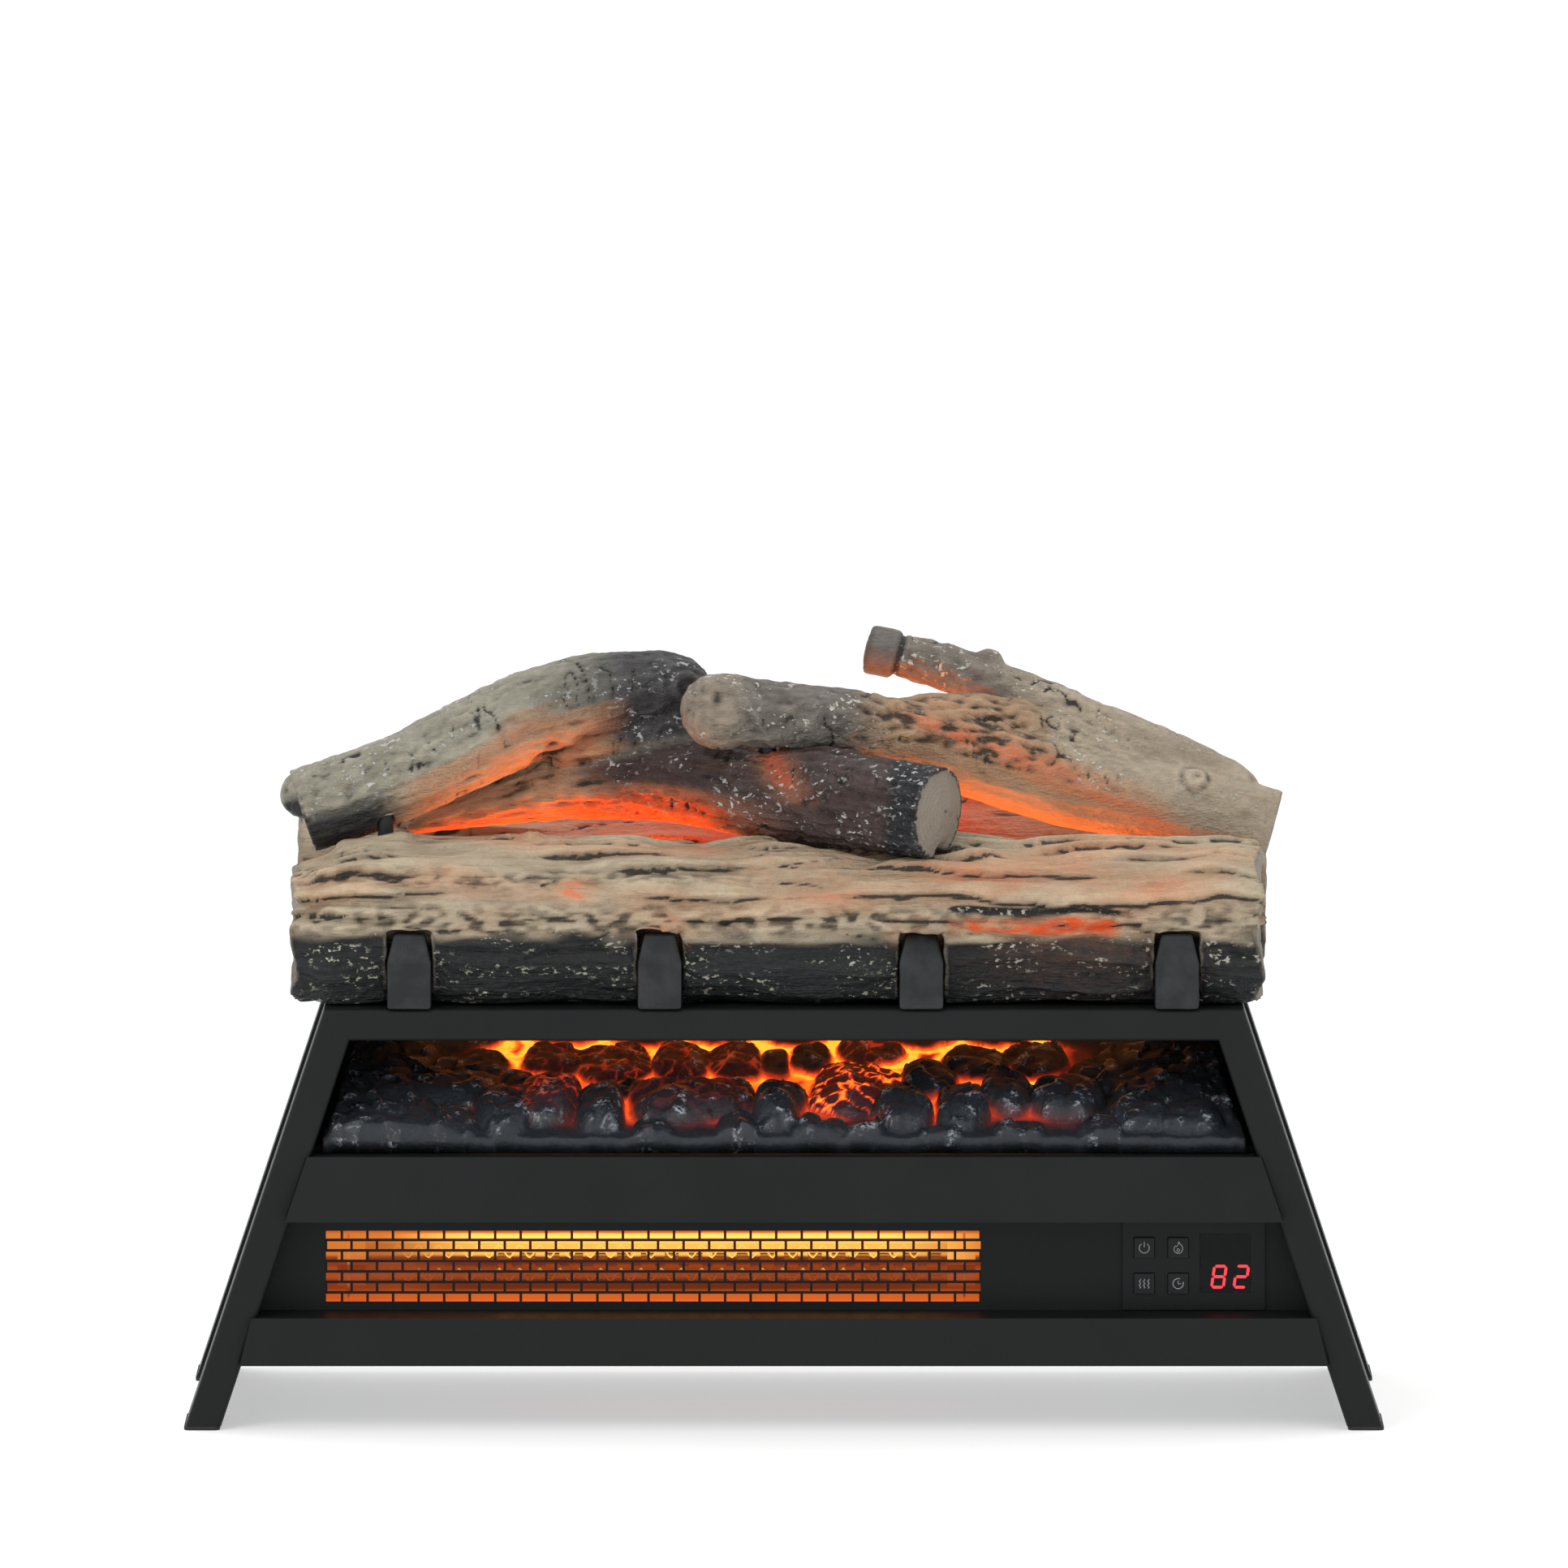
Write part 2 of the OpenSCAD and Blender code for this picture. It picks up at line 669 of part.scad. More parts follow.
module ember_bed() {
    nx = 46;
    ny = 13;
    half0 = half_w(bed_z0) - leg_x - 3;
    half1 = half_w(bed_z(bed_y1)) - leg_x - 3;
    grid = [for (j = [0:ny]) let (
            y = bed_y0 + (bed_y1 - bed_y0) * j / ny, half = half0 + (half1 - half0) * j / ny)
        [for (i = [0:nx]) let (x = half * (2 * i / nx - 1), edge = i == 0 || i == nx || j == 0 ? 0 : 1)
            [x, y, bed_z(y) + edge * max([for (c = coal_list) coal_rise(x, y, c)])]]];
    // Each ring runs over the top from side to side and back under the flat bottom
    rings = [for (row = grid) concat(
        row, [for (i = [nx:-1:0]) [row[i].x, row[i].y, bed_z(row[i].y) - bed_t]])];
    w = 2 * (nx + 1);
    points = [for (r = rings) each r];
    sides = [for (j = [0:ny - 1], i = [0:w - 1]) let (a = j * w + i, b = j * w + (i + 1) % w)
        each [[a, b, a + w], [b, b + w, a + w]]];
    ends = [for (i = [0:nx - 1]) let (k = w - 1 - i, e = ny * w) each [
        [i, k, i + 1], [i + 1, k, k - 1], [e + i, e + i + 1, e + k], [e + i + 1, e + k - 1, e + k]]];
    color("#2a1a12") polyhedron(points, concat(sides, ends));
}

module ember_supports() {
    y0 = -84;
    y1 = 15;
    color("#3a3d3e") for (s = [-1, 1]) translate([s * 192, 0, 0]) along_x(-0.8, 0.8) polygon([
        [y0, shelf_top], [y0, bed_z(y0) - bed_t - 0.05], [y1, bed_z(y1) - bed_t - 0.05], [y1, shelf_top]]);
}

module led_board() {
    color("#e7e4da") union() {
        block([-150, -62, shelf_top], [150, -60.4, 137]);
        for (s = [-1, 1]) block([s * 140 - 5, -60.4, shelf_top], [s * 140 + 5, -50, shelf_top + 1]);
    }
}

module led_lamps() {
    color("#ffb066") for (i = [-5:5]) union() {
        bar_y(i * 26, 126, -60.4, -56, 2.5);
        translate([i * 26, -56, 126]) sphere(2.5);
    }
}

module flicker_shaft() {
    color(bare_steel) bar_x(-180, 158, rotor_y, rotor_z, rotor_shaft_r);
}

module flicker_petals() {
    stations = 16;
    color("#d5d8da") difference() {
        union() {
            bar_x(-166, 140, rotor_y, rotor_z, 4);
            for (i = [0:stations - 1], k = [0:2]) translate([-158 + i * 19, rotor_y, rotor_z])
                rotate([k * 120 + i * 47, 0, 0]) translate([0, -0.3, 3]) rotate([0, 0, 20])
                    cube([14, 0.6, rotor_r - 3.6]);
        }
        bar_x(-170, 145, rotor_y, rotor_z, rotor_shaft_r + run_fit / 2);
    }
}

module flicker_motor() {
    color("#b7b9b6") difference() {
        union() {
            bar_x(145.2, 162, rotor_y, rotor_z, 20);
            bar_x(162, 166, rotor_y, rotor_z, 6);
        }
        bar_x(144, 160, rotor_y, rotor_z, rotor_shaft_r + run_fit);
    }
}

module flicker_brackets() {
    color(bare_steel) for (x = [-173.2, 144]) difference() {
        union() {
            block([x, rotor_y - 10, shelf_top], [x + skin, rotor_y + 10, rotor_z + 8]);
            block([x - 12, rotor_y - 10, shelf_top], [x + skin, rotor_y + 10, shelf_top + 1]);
        }
        bar_x(x - 1, x + 3, rotor_y, rotor_z, rotor_shaft_r + run_fit);
    }
}

module flame_mask() {
    color("#6f7476") along_y(62, 63) difference() {
        translate([-172, shelf_top]) square([344, 90]);
        for (i = [-4:4]) translate([i * 37, 118 + 5 * (i % 2)]) polygon([
            [-9, 0], [-12, 14], [-6, 30], [-9, 46], [0, 62 - 3 * abs(i)],
            [4, 44], [10, 28], [8, 10], [3, 0]]);
    }
}

// ---- Power ----

module power_board() {
    z0 = base_z + skin;
    color("#1f5b3a") union() {
        block([165, 22, z0 + 4], [255, 92, z0 + 4 + board_t]);
        for (x = [170, 250], y = [27, 87]) translate([x, y, z0]) cylinder(h = 4, r = 2.5);
    }
}

module board_parts() {
    z0 = base_z + skin + 4 + board_t;
    color("#202224") {
        for (i = [0, 1]) block([172, 28 + i * 22, z0], [192, 44 + i * 22, z0 + 16]);
        block([204, 30, z0], [236, 56, z0 + 25]);
        block([202, 72, z0], [240, 84, z0 + 12]);
        translate([248, 62, z0]) cylinder(h = 14, r = 4);
    }
}

module cord_gland() {
    color("#121314") difference() {
        union() {
            bar_y(gland_x, gland_z, 95, back_y + 2, 6);
            along_y(back_y - skin - 4, back_y - skin) translate([gland_x, gland_z]) circle(9.5, $fn = 6);
            along_y(back_y, back_y + 5) translate([gland_x, gland_z]) circle(10.5, $fn = 6);
            bar_y(gland_x, gland_z, back_y + 5, 124, 8);
        }
        bar_y(gland_x, gland_z, 90, 130, gland_bore_r);
    }
}

// ---- Logs ----

log_z = deck_z + 0.1;

// Pegs that hold the upper logs: X, Y, bottom and top
pegs = [[-200, -44, 270, 308], [-8, -46, 326, 346], [205, -12, log_z, 292]];
peg_r = 4;

module peg_holes() {
    for (p = pegs) translate([p[0], p[1], p[2] - 1])
        cylinder(h = p[3] - p[2] + 2, r = peg_r + 0.4, $fn = 24);
}

module log_pegs() {
    color("#3b3d3d") for (p = pegs) translate([p[0], p[1], p[2]]) cylinder(h = p[3] - p[2], r = peg_r);
}

// Outline of a grate finger's side, in Y and Z, and of its face, in X and Z
finger_x = [-187, -62, 68.5, 196];
finger_y = [-117, -108, -100];
finger_waist = 235;
finger_top = 249;

module grate() {
    half = finger_w / 2;
    color("#3b3d3d") for (x = finger_x) intersection() {
        along_x(x - finger_w, x + finger_w) polygon([
            [finger_y[0], log_z], [finger_y[0], finger_waist], [finger_y[1], finger_top],
            [finger_y[2], finger_top], [finger_y[2], log_z]]);
        along_y(-far, far) translate([x, 0]) polygon([
            [-half, 200], [half, 200], [half, finger_waist],
            [half * 0.7, finger_top], [-half * 0.7, finger_top], [-half, finger_waist]]);
    }
}

// Rounds: a sawn end at a limb's first point, square to it, and a ball at each other point
module sawn_end(p, q) {
    d = q - p;
    translate([p[0], p[1], p[2]]) rotate([0, atan2(norm([d[0], d[1]]), d[2]), atan2(d[1], d[0])])
        cylinder(h = 1, r = p[3], $fn = 24);
}

module ball(p) {
    translate([p[0], p[1], p[2]]) sphere(p[3], $fn = 18);
}

// A limb through hand-set points of X, Y, Z and radius, each pair wrapped in one skin
module limb(points) {
    path = spline(points, 2);
    for (i = [0:len(path) - 2]) hull() {
        if (i == 0) sawn_end(path[0], path[1]); else ball(path[i]);
        ball(path[i + 1]);
    }
}

// The split front log: outline in Y and Z from its back lower edge forward, up and over
front_x = [-245, 238];
front_y_mid = -70;
front_outline = [
    [24, 0], [-22, 0], [-34, 6], [-42, 22], [-41, 45], [-33, 62], [-18, 74], [2, 79],
    [20, 77], [34, 68], [40, 50], [40, 25], [34, 6]];

module front_log() {
    notch_w = finger_w + 1;
    outline = loop(front_outline, 2);
    n = len(outline);
    rings = 28;
    core = [0, 38];
    body = [for (i = [0:rings]) let (
            x = front_x[0] + (front_x[1] - front_x[0]) * i / rings,
            end = i == 0 || i == rings, tip = end ? 0.93 : 1,
            swell = tip * (1 + 0.025 * sin(x * 1.9) + 0.02 * sin(x * 4.7 + 60)),
            sag = 0.11 * max(0, (-205 - x) / 44))
        [for (j = [0:n - 1]) let (
                p = outline[j] - core, ridge = 0.9 * sin(j * 97 + x * 1.1) + 0.7 * sin(j * 211 - x * 2.3),
                q = p * swell + unit(p) * ridge + core, ragged = end ? 2.5 * sin(j * 83 + i) : 0)
            [x + ragged, front_y_mid + q.x, log_z + (j < 3 ? 0 : max(q.y, 0)) * (1 - sag)]]];
    color("#b5a68f") difference() {
        union() {
            loft(body);
            hull() for (p = [[-220, -60, 284, 9], [-192, -60, 286, 9]]) ball(p);
        }
        for (x = finger_x) translate([x - notch_w / 2, -130, 200])
            cube([notch_w, finger_y[2] + 130.5, finger_top - 199.4]);
        translate([40, -70, 310.5]) rotate([0, 0, -31]) rotate([0, 92, 0])
            cylinder(h = 130, r = 26, center = true, $fn = 40);
        peg_holes();
    }
}

module rear_log() {
    sides = 24;
    rings = 26;
    x0 = -246;
    x1 = 244;
    body = [for (i = [0:rings]) let (x = x0 + (x1 - x0) * i / rings, tip = i == 0 || i == rings ? 0.94 : 1)
        [for (j = [0:sides - 1]) let (
                a = -j * 360 / sides,
                r = tip * rear_r * (1 + 0.02 * sin(3 * a + x) + 0.018 * sin(7 * a - 2 * x)))
            [x, 62 + r * cos(a), max(log_z, log_z + rear_r + r * sin(a))]]];
    color("#8a5a34") loft(body);
}

// The left log is one moulding: a main limb, a short stub behind its left end, a charred fork
// that leaves it below and runs forward over the front log, and a web that fills the crotch
module left_log() {
    color("#8f7f6c") difference() {
        union() {
            limb([[-242, -36, 303, 22], [-190, -33, 321, 22], [-130, -24, 349, 23], [-85, -14, 360, 22],
                [-56, -6, 360, 20]]);
            hull() for (p = [[-242, -14, 309, 12], [-215, -16, 316, 12]]) ball(p);
            limb([[76, -92, 308, 24], [40, -70, 311, 24], [0, -46, 311, 23.5], [-35, -28, 316, 23],
                [-70, -14, 318, 22], [-110, -10, 314, 18], [-150, -10, 305, 12], [-186, -10, 293, 5]]);
            limb([[-118, -14, 330, 13], [-80, -12, 338, 18], [-48, -12, 338, 17]]);
        }
        peg_holes();
    }
}

// The right log is one moulding: a low limb with a rounded tip, a high limb that joins it,
// and a web between them
module right_log() {
    color("#8a7966") difference() {
        union() {
            limb([[246, -14, 292, 20], [200, -13, 304, 21], [140, -15, 315, 22], [86, -24, 332, 20],
                [34, -38, 348, 17], [-8, -50, 354, 16.5], [-33, -52, 355, 19.5]]);
            limb([[43, 34, 378, 12], [66, 30, 373, 12], [98, 22, 364, 13], [145, 12, 343, 16],
                [190, 4, 321, 20], [222, -3, 305, 20]]);
            limb([[54, -28, 345, 13], [95, -10, 346, 15], [140, 0, 333, 17], [185, 0, 316, 17]]);
        }
        peg_holes();
    }
}

foot_pads();
front_leg_left();
front_leg_right();
rear_leg_left();
rear_leg_right();
front_top_rail();
rear_top_rail();
top_deck();
left_side_panel();
right_side_panel();
back_panel();
base_pan();
front_panel();
brow_strip();
lower_strip();
case_screws();
heater_grille();
reflector();
quartz_tubes();
heating_coils();
tube_end_caps();
tube_brackets();
thermal_cutout();
blower_housing();
blower_wheel();
blower_shaft();
blower_motor();
blower_bearing();
control_fascia();
key_power();
key_flame();
key_heat();
key_timer();
display_lens();
display_module();
display_digits();
ir_receiver();
control_board();
tact_switches();
light_shelf();
ember_bed();
ember_supports();
led_board();
led_lamps();
flicker_shaft();
flicker_petals();
flicker_motor();
flicker_brackets();
flame_mask();
projection_window();
glow_window();
power_board();
board_parts();
cord_gland();
front_log();
rear_log();
left_log();
right_log();
grate();
log_pegs();
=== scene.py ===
"""Looks for an electric log fire: moulded logs, glowing embers and a black steel heater stand."""

import logging
import math
from dataclasses import dataclass, replace
from enum import Enum
from functools import cache
from typing import Callable, ClassVar, Sequence, Union

import bpy
import numpy as np
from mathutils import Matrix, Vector, noise


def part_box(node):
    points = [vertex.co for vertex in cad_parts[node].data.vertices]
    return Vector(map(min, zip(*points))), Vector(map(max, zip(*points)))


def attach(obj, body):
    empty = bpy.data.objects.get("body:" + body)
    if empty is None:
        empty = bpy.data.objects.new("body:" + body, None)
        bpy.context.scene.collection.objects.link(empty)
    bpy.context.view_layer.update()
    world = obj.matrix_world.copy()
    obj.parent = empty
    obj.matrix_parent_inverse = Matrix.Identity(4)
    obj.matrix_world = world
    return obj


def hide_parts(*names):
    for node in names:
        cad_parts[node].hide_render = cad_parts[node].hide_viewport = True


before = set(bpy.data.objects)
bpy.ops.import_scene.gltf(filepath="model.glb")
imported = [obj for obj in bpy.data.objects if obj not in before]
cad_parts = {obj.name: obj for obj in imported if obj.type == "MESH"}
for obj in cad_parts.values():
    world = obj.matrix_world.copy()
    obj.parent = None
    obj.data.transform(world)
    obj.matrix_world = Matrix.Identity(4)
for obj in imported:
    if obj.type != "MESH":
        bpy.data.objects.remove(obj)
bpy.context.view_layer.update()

LOG = logging.getLogger("log_fire")
MM = 0.001
MERGE = 1e-5
STAND = "stand"

Colour = tuple[float, float, float]
Point = tuple[float, float, float]
Knot = tuple[float, float, float, float]
Span = tuple[float, float]


# ---------------------------------------------------------------- shader tools


def joiner(operation: str, swapped: bool = False) -> Callable[["Wire", "Amount"], "Wire"]:
    """Return a method that joins a wire and another amount with one Math node."""

    def joined(self: "Wire", other: "Amount") -> "Wire":
        """Return self joined with the other amount."""
        ends = (other, self) if swapped else (self, other)
        return self.shader.node("ShaderNodeMath", {"operation": operation}, dict(enumerate(ends)))

    return joined


class Wire:
    """A shader value that adds Math nodes when it is used in a sum."""

    def __init__(self, shader: "Shader", socket: bpy.types.NodeSocket) -> None:
        """Wrap one output socket of a shader."""
        self.shader = shader
        self.socket = socket

    __add__, __radd__ = joiner("ADD"), joiner("ADD", swapped=True)
    __sub__, __rsub__ = joiner("SUBTRACT"), joiner("SUBTRACT", swapped=True)
    __mul__, __rmul__ = joiner("MULTIPLY"), joiner("MULTIPLY", swapped=True)
    __truediv__ = joiner("DIVIDE")

    def clamp(self) -> "Wire":
        """Return self held between 0 and 1."""
        return self.shader.node("ShaderNodeClamp", {}, {"Value": self})

    def step(self, low: float, high: float) -> "Wire":
        """Return a smooth rise from 0 at low to 1 at high."""
        ends = {"Value": self, "From Min": low, "From Max": high}
        return self.shader.node("ShaderNodeMapRange", {"interpolation_type": "SMOOTHSTEP"}, ends)

    def within(self, rise: Span, fall: Span) -> "Wire":
        """Return a smooth rise over one span and a smooth fall over another."""
        return self.step(*rise) * (1 - self.step(*fall))


Amount = Union[Wire, float]
Shade = Union[Wire, Colour]


class Shader:
    """A material with one Principled shader and a short way to add nodes."""

    def __init__(self, name: str) -> None:
        """Start a material with an empty Principled shader."""
        self.material = bpy.data.materials.new(name)
        self.material.use_nodes = True
        self.tree = self.material.node_tree
        self.surface = self.tree.nodes["Principled BSDF"]

    def feed(self, socket: bpy.types.NodeSocket, value: Union[Amount, Sequence[float]]) -> None:
        """Link a wire to a socket, or set its value."""
        if isinstance(value, Wire):
            self.tree.links.new(value.socket, socket)
        elif socket.type == "RGBA":
            socket.default_value = (*value, 1.0)
        else:
            socket.default_value = value

    def node(self, kind: str, settings: dict, inputs: dict, output: Union[int, str] = 0) -> Wire:
        """Add one node.

        Args:
            kind: Blender's name for the node.
            settings: Attributes to set first; "stops" sets a ramp's colours.
            inputs: Socket names or numbers, with a value or a wire for each.
            output: Name or number of the output to return.

        Returns:
            The chosen output.
        """
        made = self.tree.nodes.new(kind)
        for key, value in settings.items():
            if key == "stops":
                ramp = made.color_ramp.elements
                while len(ramp) < len(value):
                    ramp.new(0.5)
                for element, (place, colour) in zip(ramp, value):
                    element.position = place
                    element.color = (*colour, 1.0)
            else:
                setattr(made, key, value)
        for key, value in inputs.items():
            self.feed(made.inputs[key], value)
        return Wire(self, made.outputs[output])

    def set(self, **values: Union[Amount, Sequence[float]]) -> None:
        """Set or link the Principled shader's sockets, named with _ for spaces."""
        for key, value in values.items():
            self.feed(self.surface.inputs[key.replace("_", " ")], value)

    def place(self) -> Wire:
        """Return the surface's own coordinates, in metres."""
        return self.node("ShaderNodeTexCoord", {}, {}, "Object")

    def axis(self, name: str) -> Wire:
        """Return one coordinate, "X", "Y" or "Z", in metres."""
        return self.node("ShaderNodeSeparateXYZ", {}, {0: self.place()}, name)

    def grain(
            self, size: float, stretch: Point = (1, 1, 1), detail: float = 3.0, rough: float = 0.55) -> Wire:
        """Return noise around 0.5, its blotches a size in metres across and stretched along the axes."""
        scale = tuple(1 / (size * s) for s in stretch)
        spot = self.node("ShaderNodeMapping", {}, {"Vector": self.place(), "Scale": scale})
        values = {"Vector": spot, "Scale": 1.0, "Detail": detail, "Roughness": rough}
        return self.node("ShaderNodeTexNoise", {}, values)

    def attribute(self, name: str) -> Wire:
        """Return a value stored on the mesh."""
        return self.node("ShaderNodeAttribute", {"attribute_name": name}, {}, "Fac")

    def mix(self, amount: Amount, low: "Shade", high: "Shade", blend: str = "MIX") -> Wire:
        """Return a colour mixed from low to high by an amount."""
        factor, first, second, result = 0, 6, 7, 2
        settings = {"data_type": "RGBA", "blend_type": blend}
        return self.node("ShaderNodeMix", settings, {factor: amount, first: low, second: high}, result)

    def ramp(self, amount: Wire, stops: Sequence[tuple[float, Colour]]) -> Wire:
        """Return a colour read off a ramp."""
        return self.node("ShaderNodeValToRGB", {"stops": stops}, {0: amount}, "Color")

    def bump(self, height: Wire, depth: float, strength: float = 1.0) -> None:
        """Raise the surface by a height of 0 to 1, times a depth in metres."""
        values = {"Height": height, "Distance": depth, "Strength": strength}
        self.set(Normal=self.node("ShaderNodeBump", {}, values, "Normal"))


# ---------------------------------------------------------------- finishes


def scaled(colour: Colour, factor: float) -> Colour:
    """Return a colour made lighter or darker."""
    return tuple(min(1.0, c * factor) for c in colour)


@dataclass(frozen=True)
class Finish:
    """A named finish; each kind has its own nodes."""

    name: str

    @cache
    def build(self) -> bpy.types.Material:
        """Return the finish's one material."""
        shader = Shader(self.name)
        self.wire(shader)
        return shader.material

    def wire(self, s: Shader) -> None:
        """Add the finish's nodes to a shader."""
        raise NotImplementedError


@dataclass(frozen=True)
class PowderCoat(Finish):
    """A fine satin powder coat on sheet steel."""

    colour: Colour = (0.0075, 0.0088, 0.0090)
    rough: float = 0.44
    gloss: float = 0.16

    def wire(self, s: Shader) -> None:
        """Add the coat's orange-peel grain and slight mottling."""
        fine = s.grain(0.0007, detail=2.0)
        cloud = s.grain(0.05, detail=4.0)
        mottle = cloud.step(0.3, 0.7) * 0.5 + fine.step(0.4, 0.75) * 0.35
        s.set(Base_Color=s.mix(mottle, self.colour, scaled(self.colour, 1.35)))
        s.set(Roughness=cloud * 0.12 + (self.rough - 0.06), Specular_IOR_Level=self.gloss)
        s.bump(fine, 0.00012, 0.55)


@dataclass(frozen=True)
class CastIron(Finish):
    """Dark cast bars, pitted and unevenly dull."""

    colour: Colour = (0.008, 0.0095, 0.010)
    wear_and_firelight: Colour = (0.020, 0.023, 0.026)

    def wire(self, s: Shader) -> None:
        """Add the pits and the worn patches."""
        pits = s.grain(0.0016, detail=4.0)
        cloud = s.grain(0.012, detail=5.0)
        s.set(Base_Color=s.mix(cloud.step(0.35, 0.7), self.colour, self.wear_and_firelight))
        s.set(Roughness=cloud * 0.2 + 0.34, Specular_IOR_Level=0.3)
        s.bump(pits * 0.6 + cloud, 0.0006, 0.5)


@dataclass(frozen=True)
class PlainSteel(Finish):
    """Bare or plated metal with a rolled grain."""

    colour: Colour = (0.42, 0.43, 0.44)
    rough: float = 0.4

    def wire(self, s: Shader) -> None:
        """Add the spangle and faint scratches along X."""
        values = {"Vector": s.place(), "Scale": 160.0}
        cells = s.node("ShaderNodeTexVoronoi", {"feature": "F1"}, values, "Color")
        shade = s.node("ShaderNodeRGBToBW", {}, {0: cells})
        lines = s.grain(0.0006, (30, 1, 1), 2.0)
        s.set(Base_Color=s.mix(shade * 0.5 + lines * 0.4, scaled(self.colour, 0.72), self.colour))
        s.set(Metallic=1.0, Roughness=lines * 0.2 + shade * 0.1 + (self.rough - 0.15))
        s.bump(lines, 0.0001, 0.3)


@dataclass(frozen=True)
class MouldedPlastic(Finish):
    """A moulded plastic with a fine spark-eroded grain."""

    colour: Colour
    rough: float = 0.45
    mottle: float = 1.25
    gloss: float = 0.4

    def wire(self, s: Shader) -> None:
        """Add the grain and a faint cloud."""
        fine = s.grain(0.0005, detail=2.0)
        cloud = s.grain(0.02, detail=3.0)
        s.set(Base_Color=s.mix(cloud, self.colour, scaled(self.colour, self.mottle)))
        s.set(Roughness=fine * 0.12 + (self.rough - 0.06), Specular_IOR_Level=self.gloss)
        s.bump(fine, 0.00006, 0.5)


@dataclass(frozen=True)
class CircuitBoard(Finish):
    """A lacquered board with traces under the lacquer."""

    colour: Colour = (0.012, 0.085, 0.04)

    def wire(self, s: Shader) -> None:
        """Add the traces."""
        brick = {"Vector": s.place(), "Scale": 120.0, "Mortar Size": 0.03}
        lines = s.node("ShaderNodeTexBrick", {}, brick, "Fac")
        s.set(Base_Color=s.mix(lines, self.colour, scaled(self.colour, 2.2)))
        s.set(Roughness=s.grain(0.01) * 0.2 + 0.2, Coat_Weight=0.5)


@dataclass(frozen=True)
class ClearPane(Finish):
    """A clear or smoked pane that is seen through without refraction."""

    colour: Colour
    cover: float
    rough: float = 0.12

    def wire(self, s: Shader) -> None:
        """Add slight smudges."""
        s.set(Base_Color=self.colour, Alpha=self.cover, Specular_IOR_Level=0.15)
        s.set(Roughness=s.grain(0.01, detail=4.0) * 0.12 + self.rough)


@dataclass(frozen=True)
class Lamp(Finish):
    """A lit surface of one colour, brighter and dimmer in patches."""

    colour: Colour
    glow: float
    body: Colour = (0.05, 0.01, 0.01)

    def wire(self, s: Shader) -> None:
        """Add the light."""
        s.set(Base_Color=self.body, Roughness=0.4, Emission_Strength=self.glow)
        s.set(Emission_Color=s.mix(s.grain(0.002), scaled(self.colour, 0.8), self.colour))


@dataclass(frozen=True)
class TubeLitTrough(Finish):
    """Metal behind the tubes, washed with painted light from the lit tube: yellow near it, orange and maroon
    away.
    """

    BANDS: ClassVar[tuple[tuple[float, Colour], ...]] = (
        (0.00, (0.80, 0.15, 0.022)), (0.11, (0.72, 0.13, 0.020)), (0.16, (0.09, 0.012, 0.006)),
        (0.25, (0.10, 0.014, 0.006)), (0.29, (0.45, 0.075, 0.014)), (0.40, (0.40, 0.060, 0.012)),
        (0.44, (0.09, 0.012, 0.006)), (0.53, (0.12, 0.015, 0.007)), (0.57, (0.95, 0.30, 0.05)),
        (0.82, (1.0, 0.33, 0.05)), (0.87, (0.80, 0.16, 0.025)), (1.00, (0.74, 0.14, 0.022)))

    lit_z: float = 0.0855
    half: float = 0.0058
    band_low: float = 0.057
    band_run: float = 0.041
    rise: Span = (-0.205, -0.145)
    fall: Span = (0.042, 0.112)
    back_y: float = 0.050
    slope: float = 0.105
    outside: Span = (0.0312, 0.0319)
    lit: Colour = (1.9, 1.0, 0.19)

    def wire(self, s: Shader) -> None:
        """Add the bands of light, which sink behind the trough and stop at the duct's outside."""
        x, y, z = s.axis("X"), s.axis("Y"), s.axis("Z")
        along = x.within(self.rise, self.fall)
        ripple = s.grain(0.05, (1, 1, 0.3)) - 0.5
        height = z + ripple * 0.0012 + (y + self.back_y).clamp() * self.slope
        bands = s.ramp((height - self.band_low) / self.band_run, self.BANDS)
        cool = s.mix(s.grain(0.03, (1, 1, 2)).step(0.35, 0.7), (0.42, 0.070, 0.014), (0.62, 0.12, 0.022))
        edge = (height - self.lit_z) / self.half
        # The bright core: on the coils the lit coil's own glow, on the trough a painted reflection of it.
        core = (1 - (edge * edge).step(0.75, 1.25)) * along
        wash = s.mix(along * 0.7 + 0.3, s.mix(0.45, cool, bands), bands)
        # Painted light as emission on metal that is no lamp; none outside the duct.
        glow = s.mix(y.step(*self.outside), s.mix(core, wash, self.lit), (0, 0, 0))
        s.set(Base_Color=(0.10, 0.045, 0.020), Metallic=0.6, Roughness=s.grain(0.004) * 0.2 + 0.3)
        s.set(Emission_Color=glow, Emission_Strength=0.8)


@dataclass(frozen=True)
class TubeLitGrille(Finish):
    """The black outlet grille, its bars reddened with painted light from the lit tube behind them."""

    rise: Span = (-0.215, -0.155)
    fall: Span = (0.045, 0.105)
    low_z: Span = (0.079, 0.083)
    high_z: Span = (0.0935, 0.0975)

    def wire(self, s: Shader) -> None:
        """Add the coat and a dull red wash of painted tube light over its middle."""
        x, z = s.axis("X"), s.axis("Z")
        # Painted light from the lit tube behind: a dull red glow on the middle of the bars.
        glow_amount = x.within(self.rise, self.fall) * z.step(*self.low_z) * (1 - z.step(*self.high_z) * 0.6)
        fine = s.grain(0.0007, detail=2.0)
        s.set(Base_Color=s.mix(fine, (0.006, 0.007, 0.007), (0.010, 0.011, 0.011)))
        s.set(Roughness=0.5, Specular_IOR_Level=0.15, Emission_Strength=1.0)
        s.set(Emission_Color=s.mix(glow_amount, (0.004, 0.001, 0.0006), (0.035, 0.002, 0.001)))
        s.bump(fine, 0.0001, 0.5)


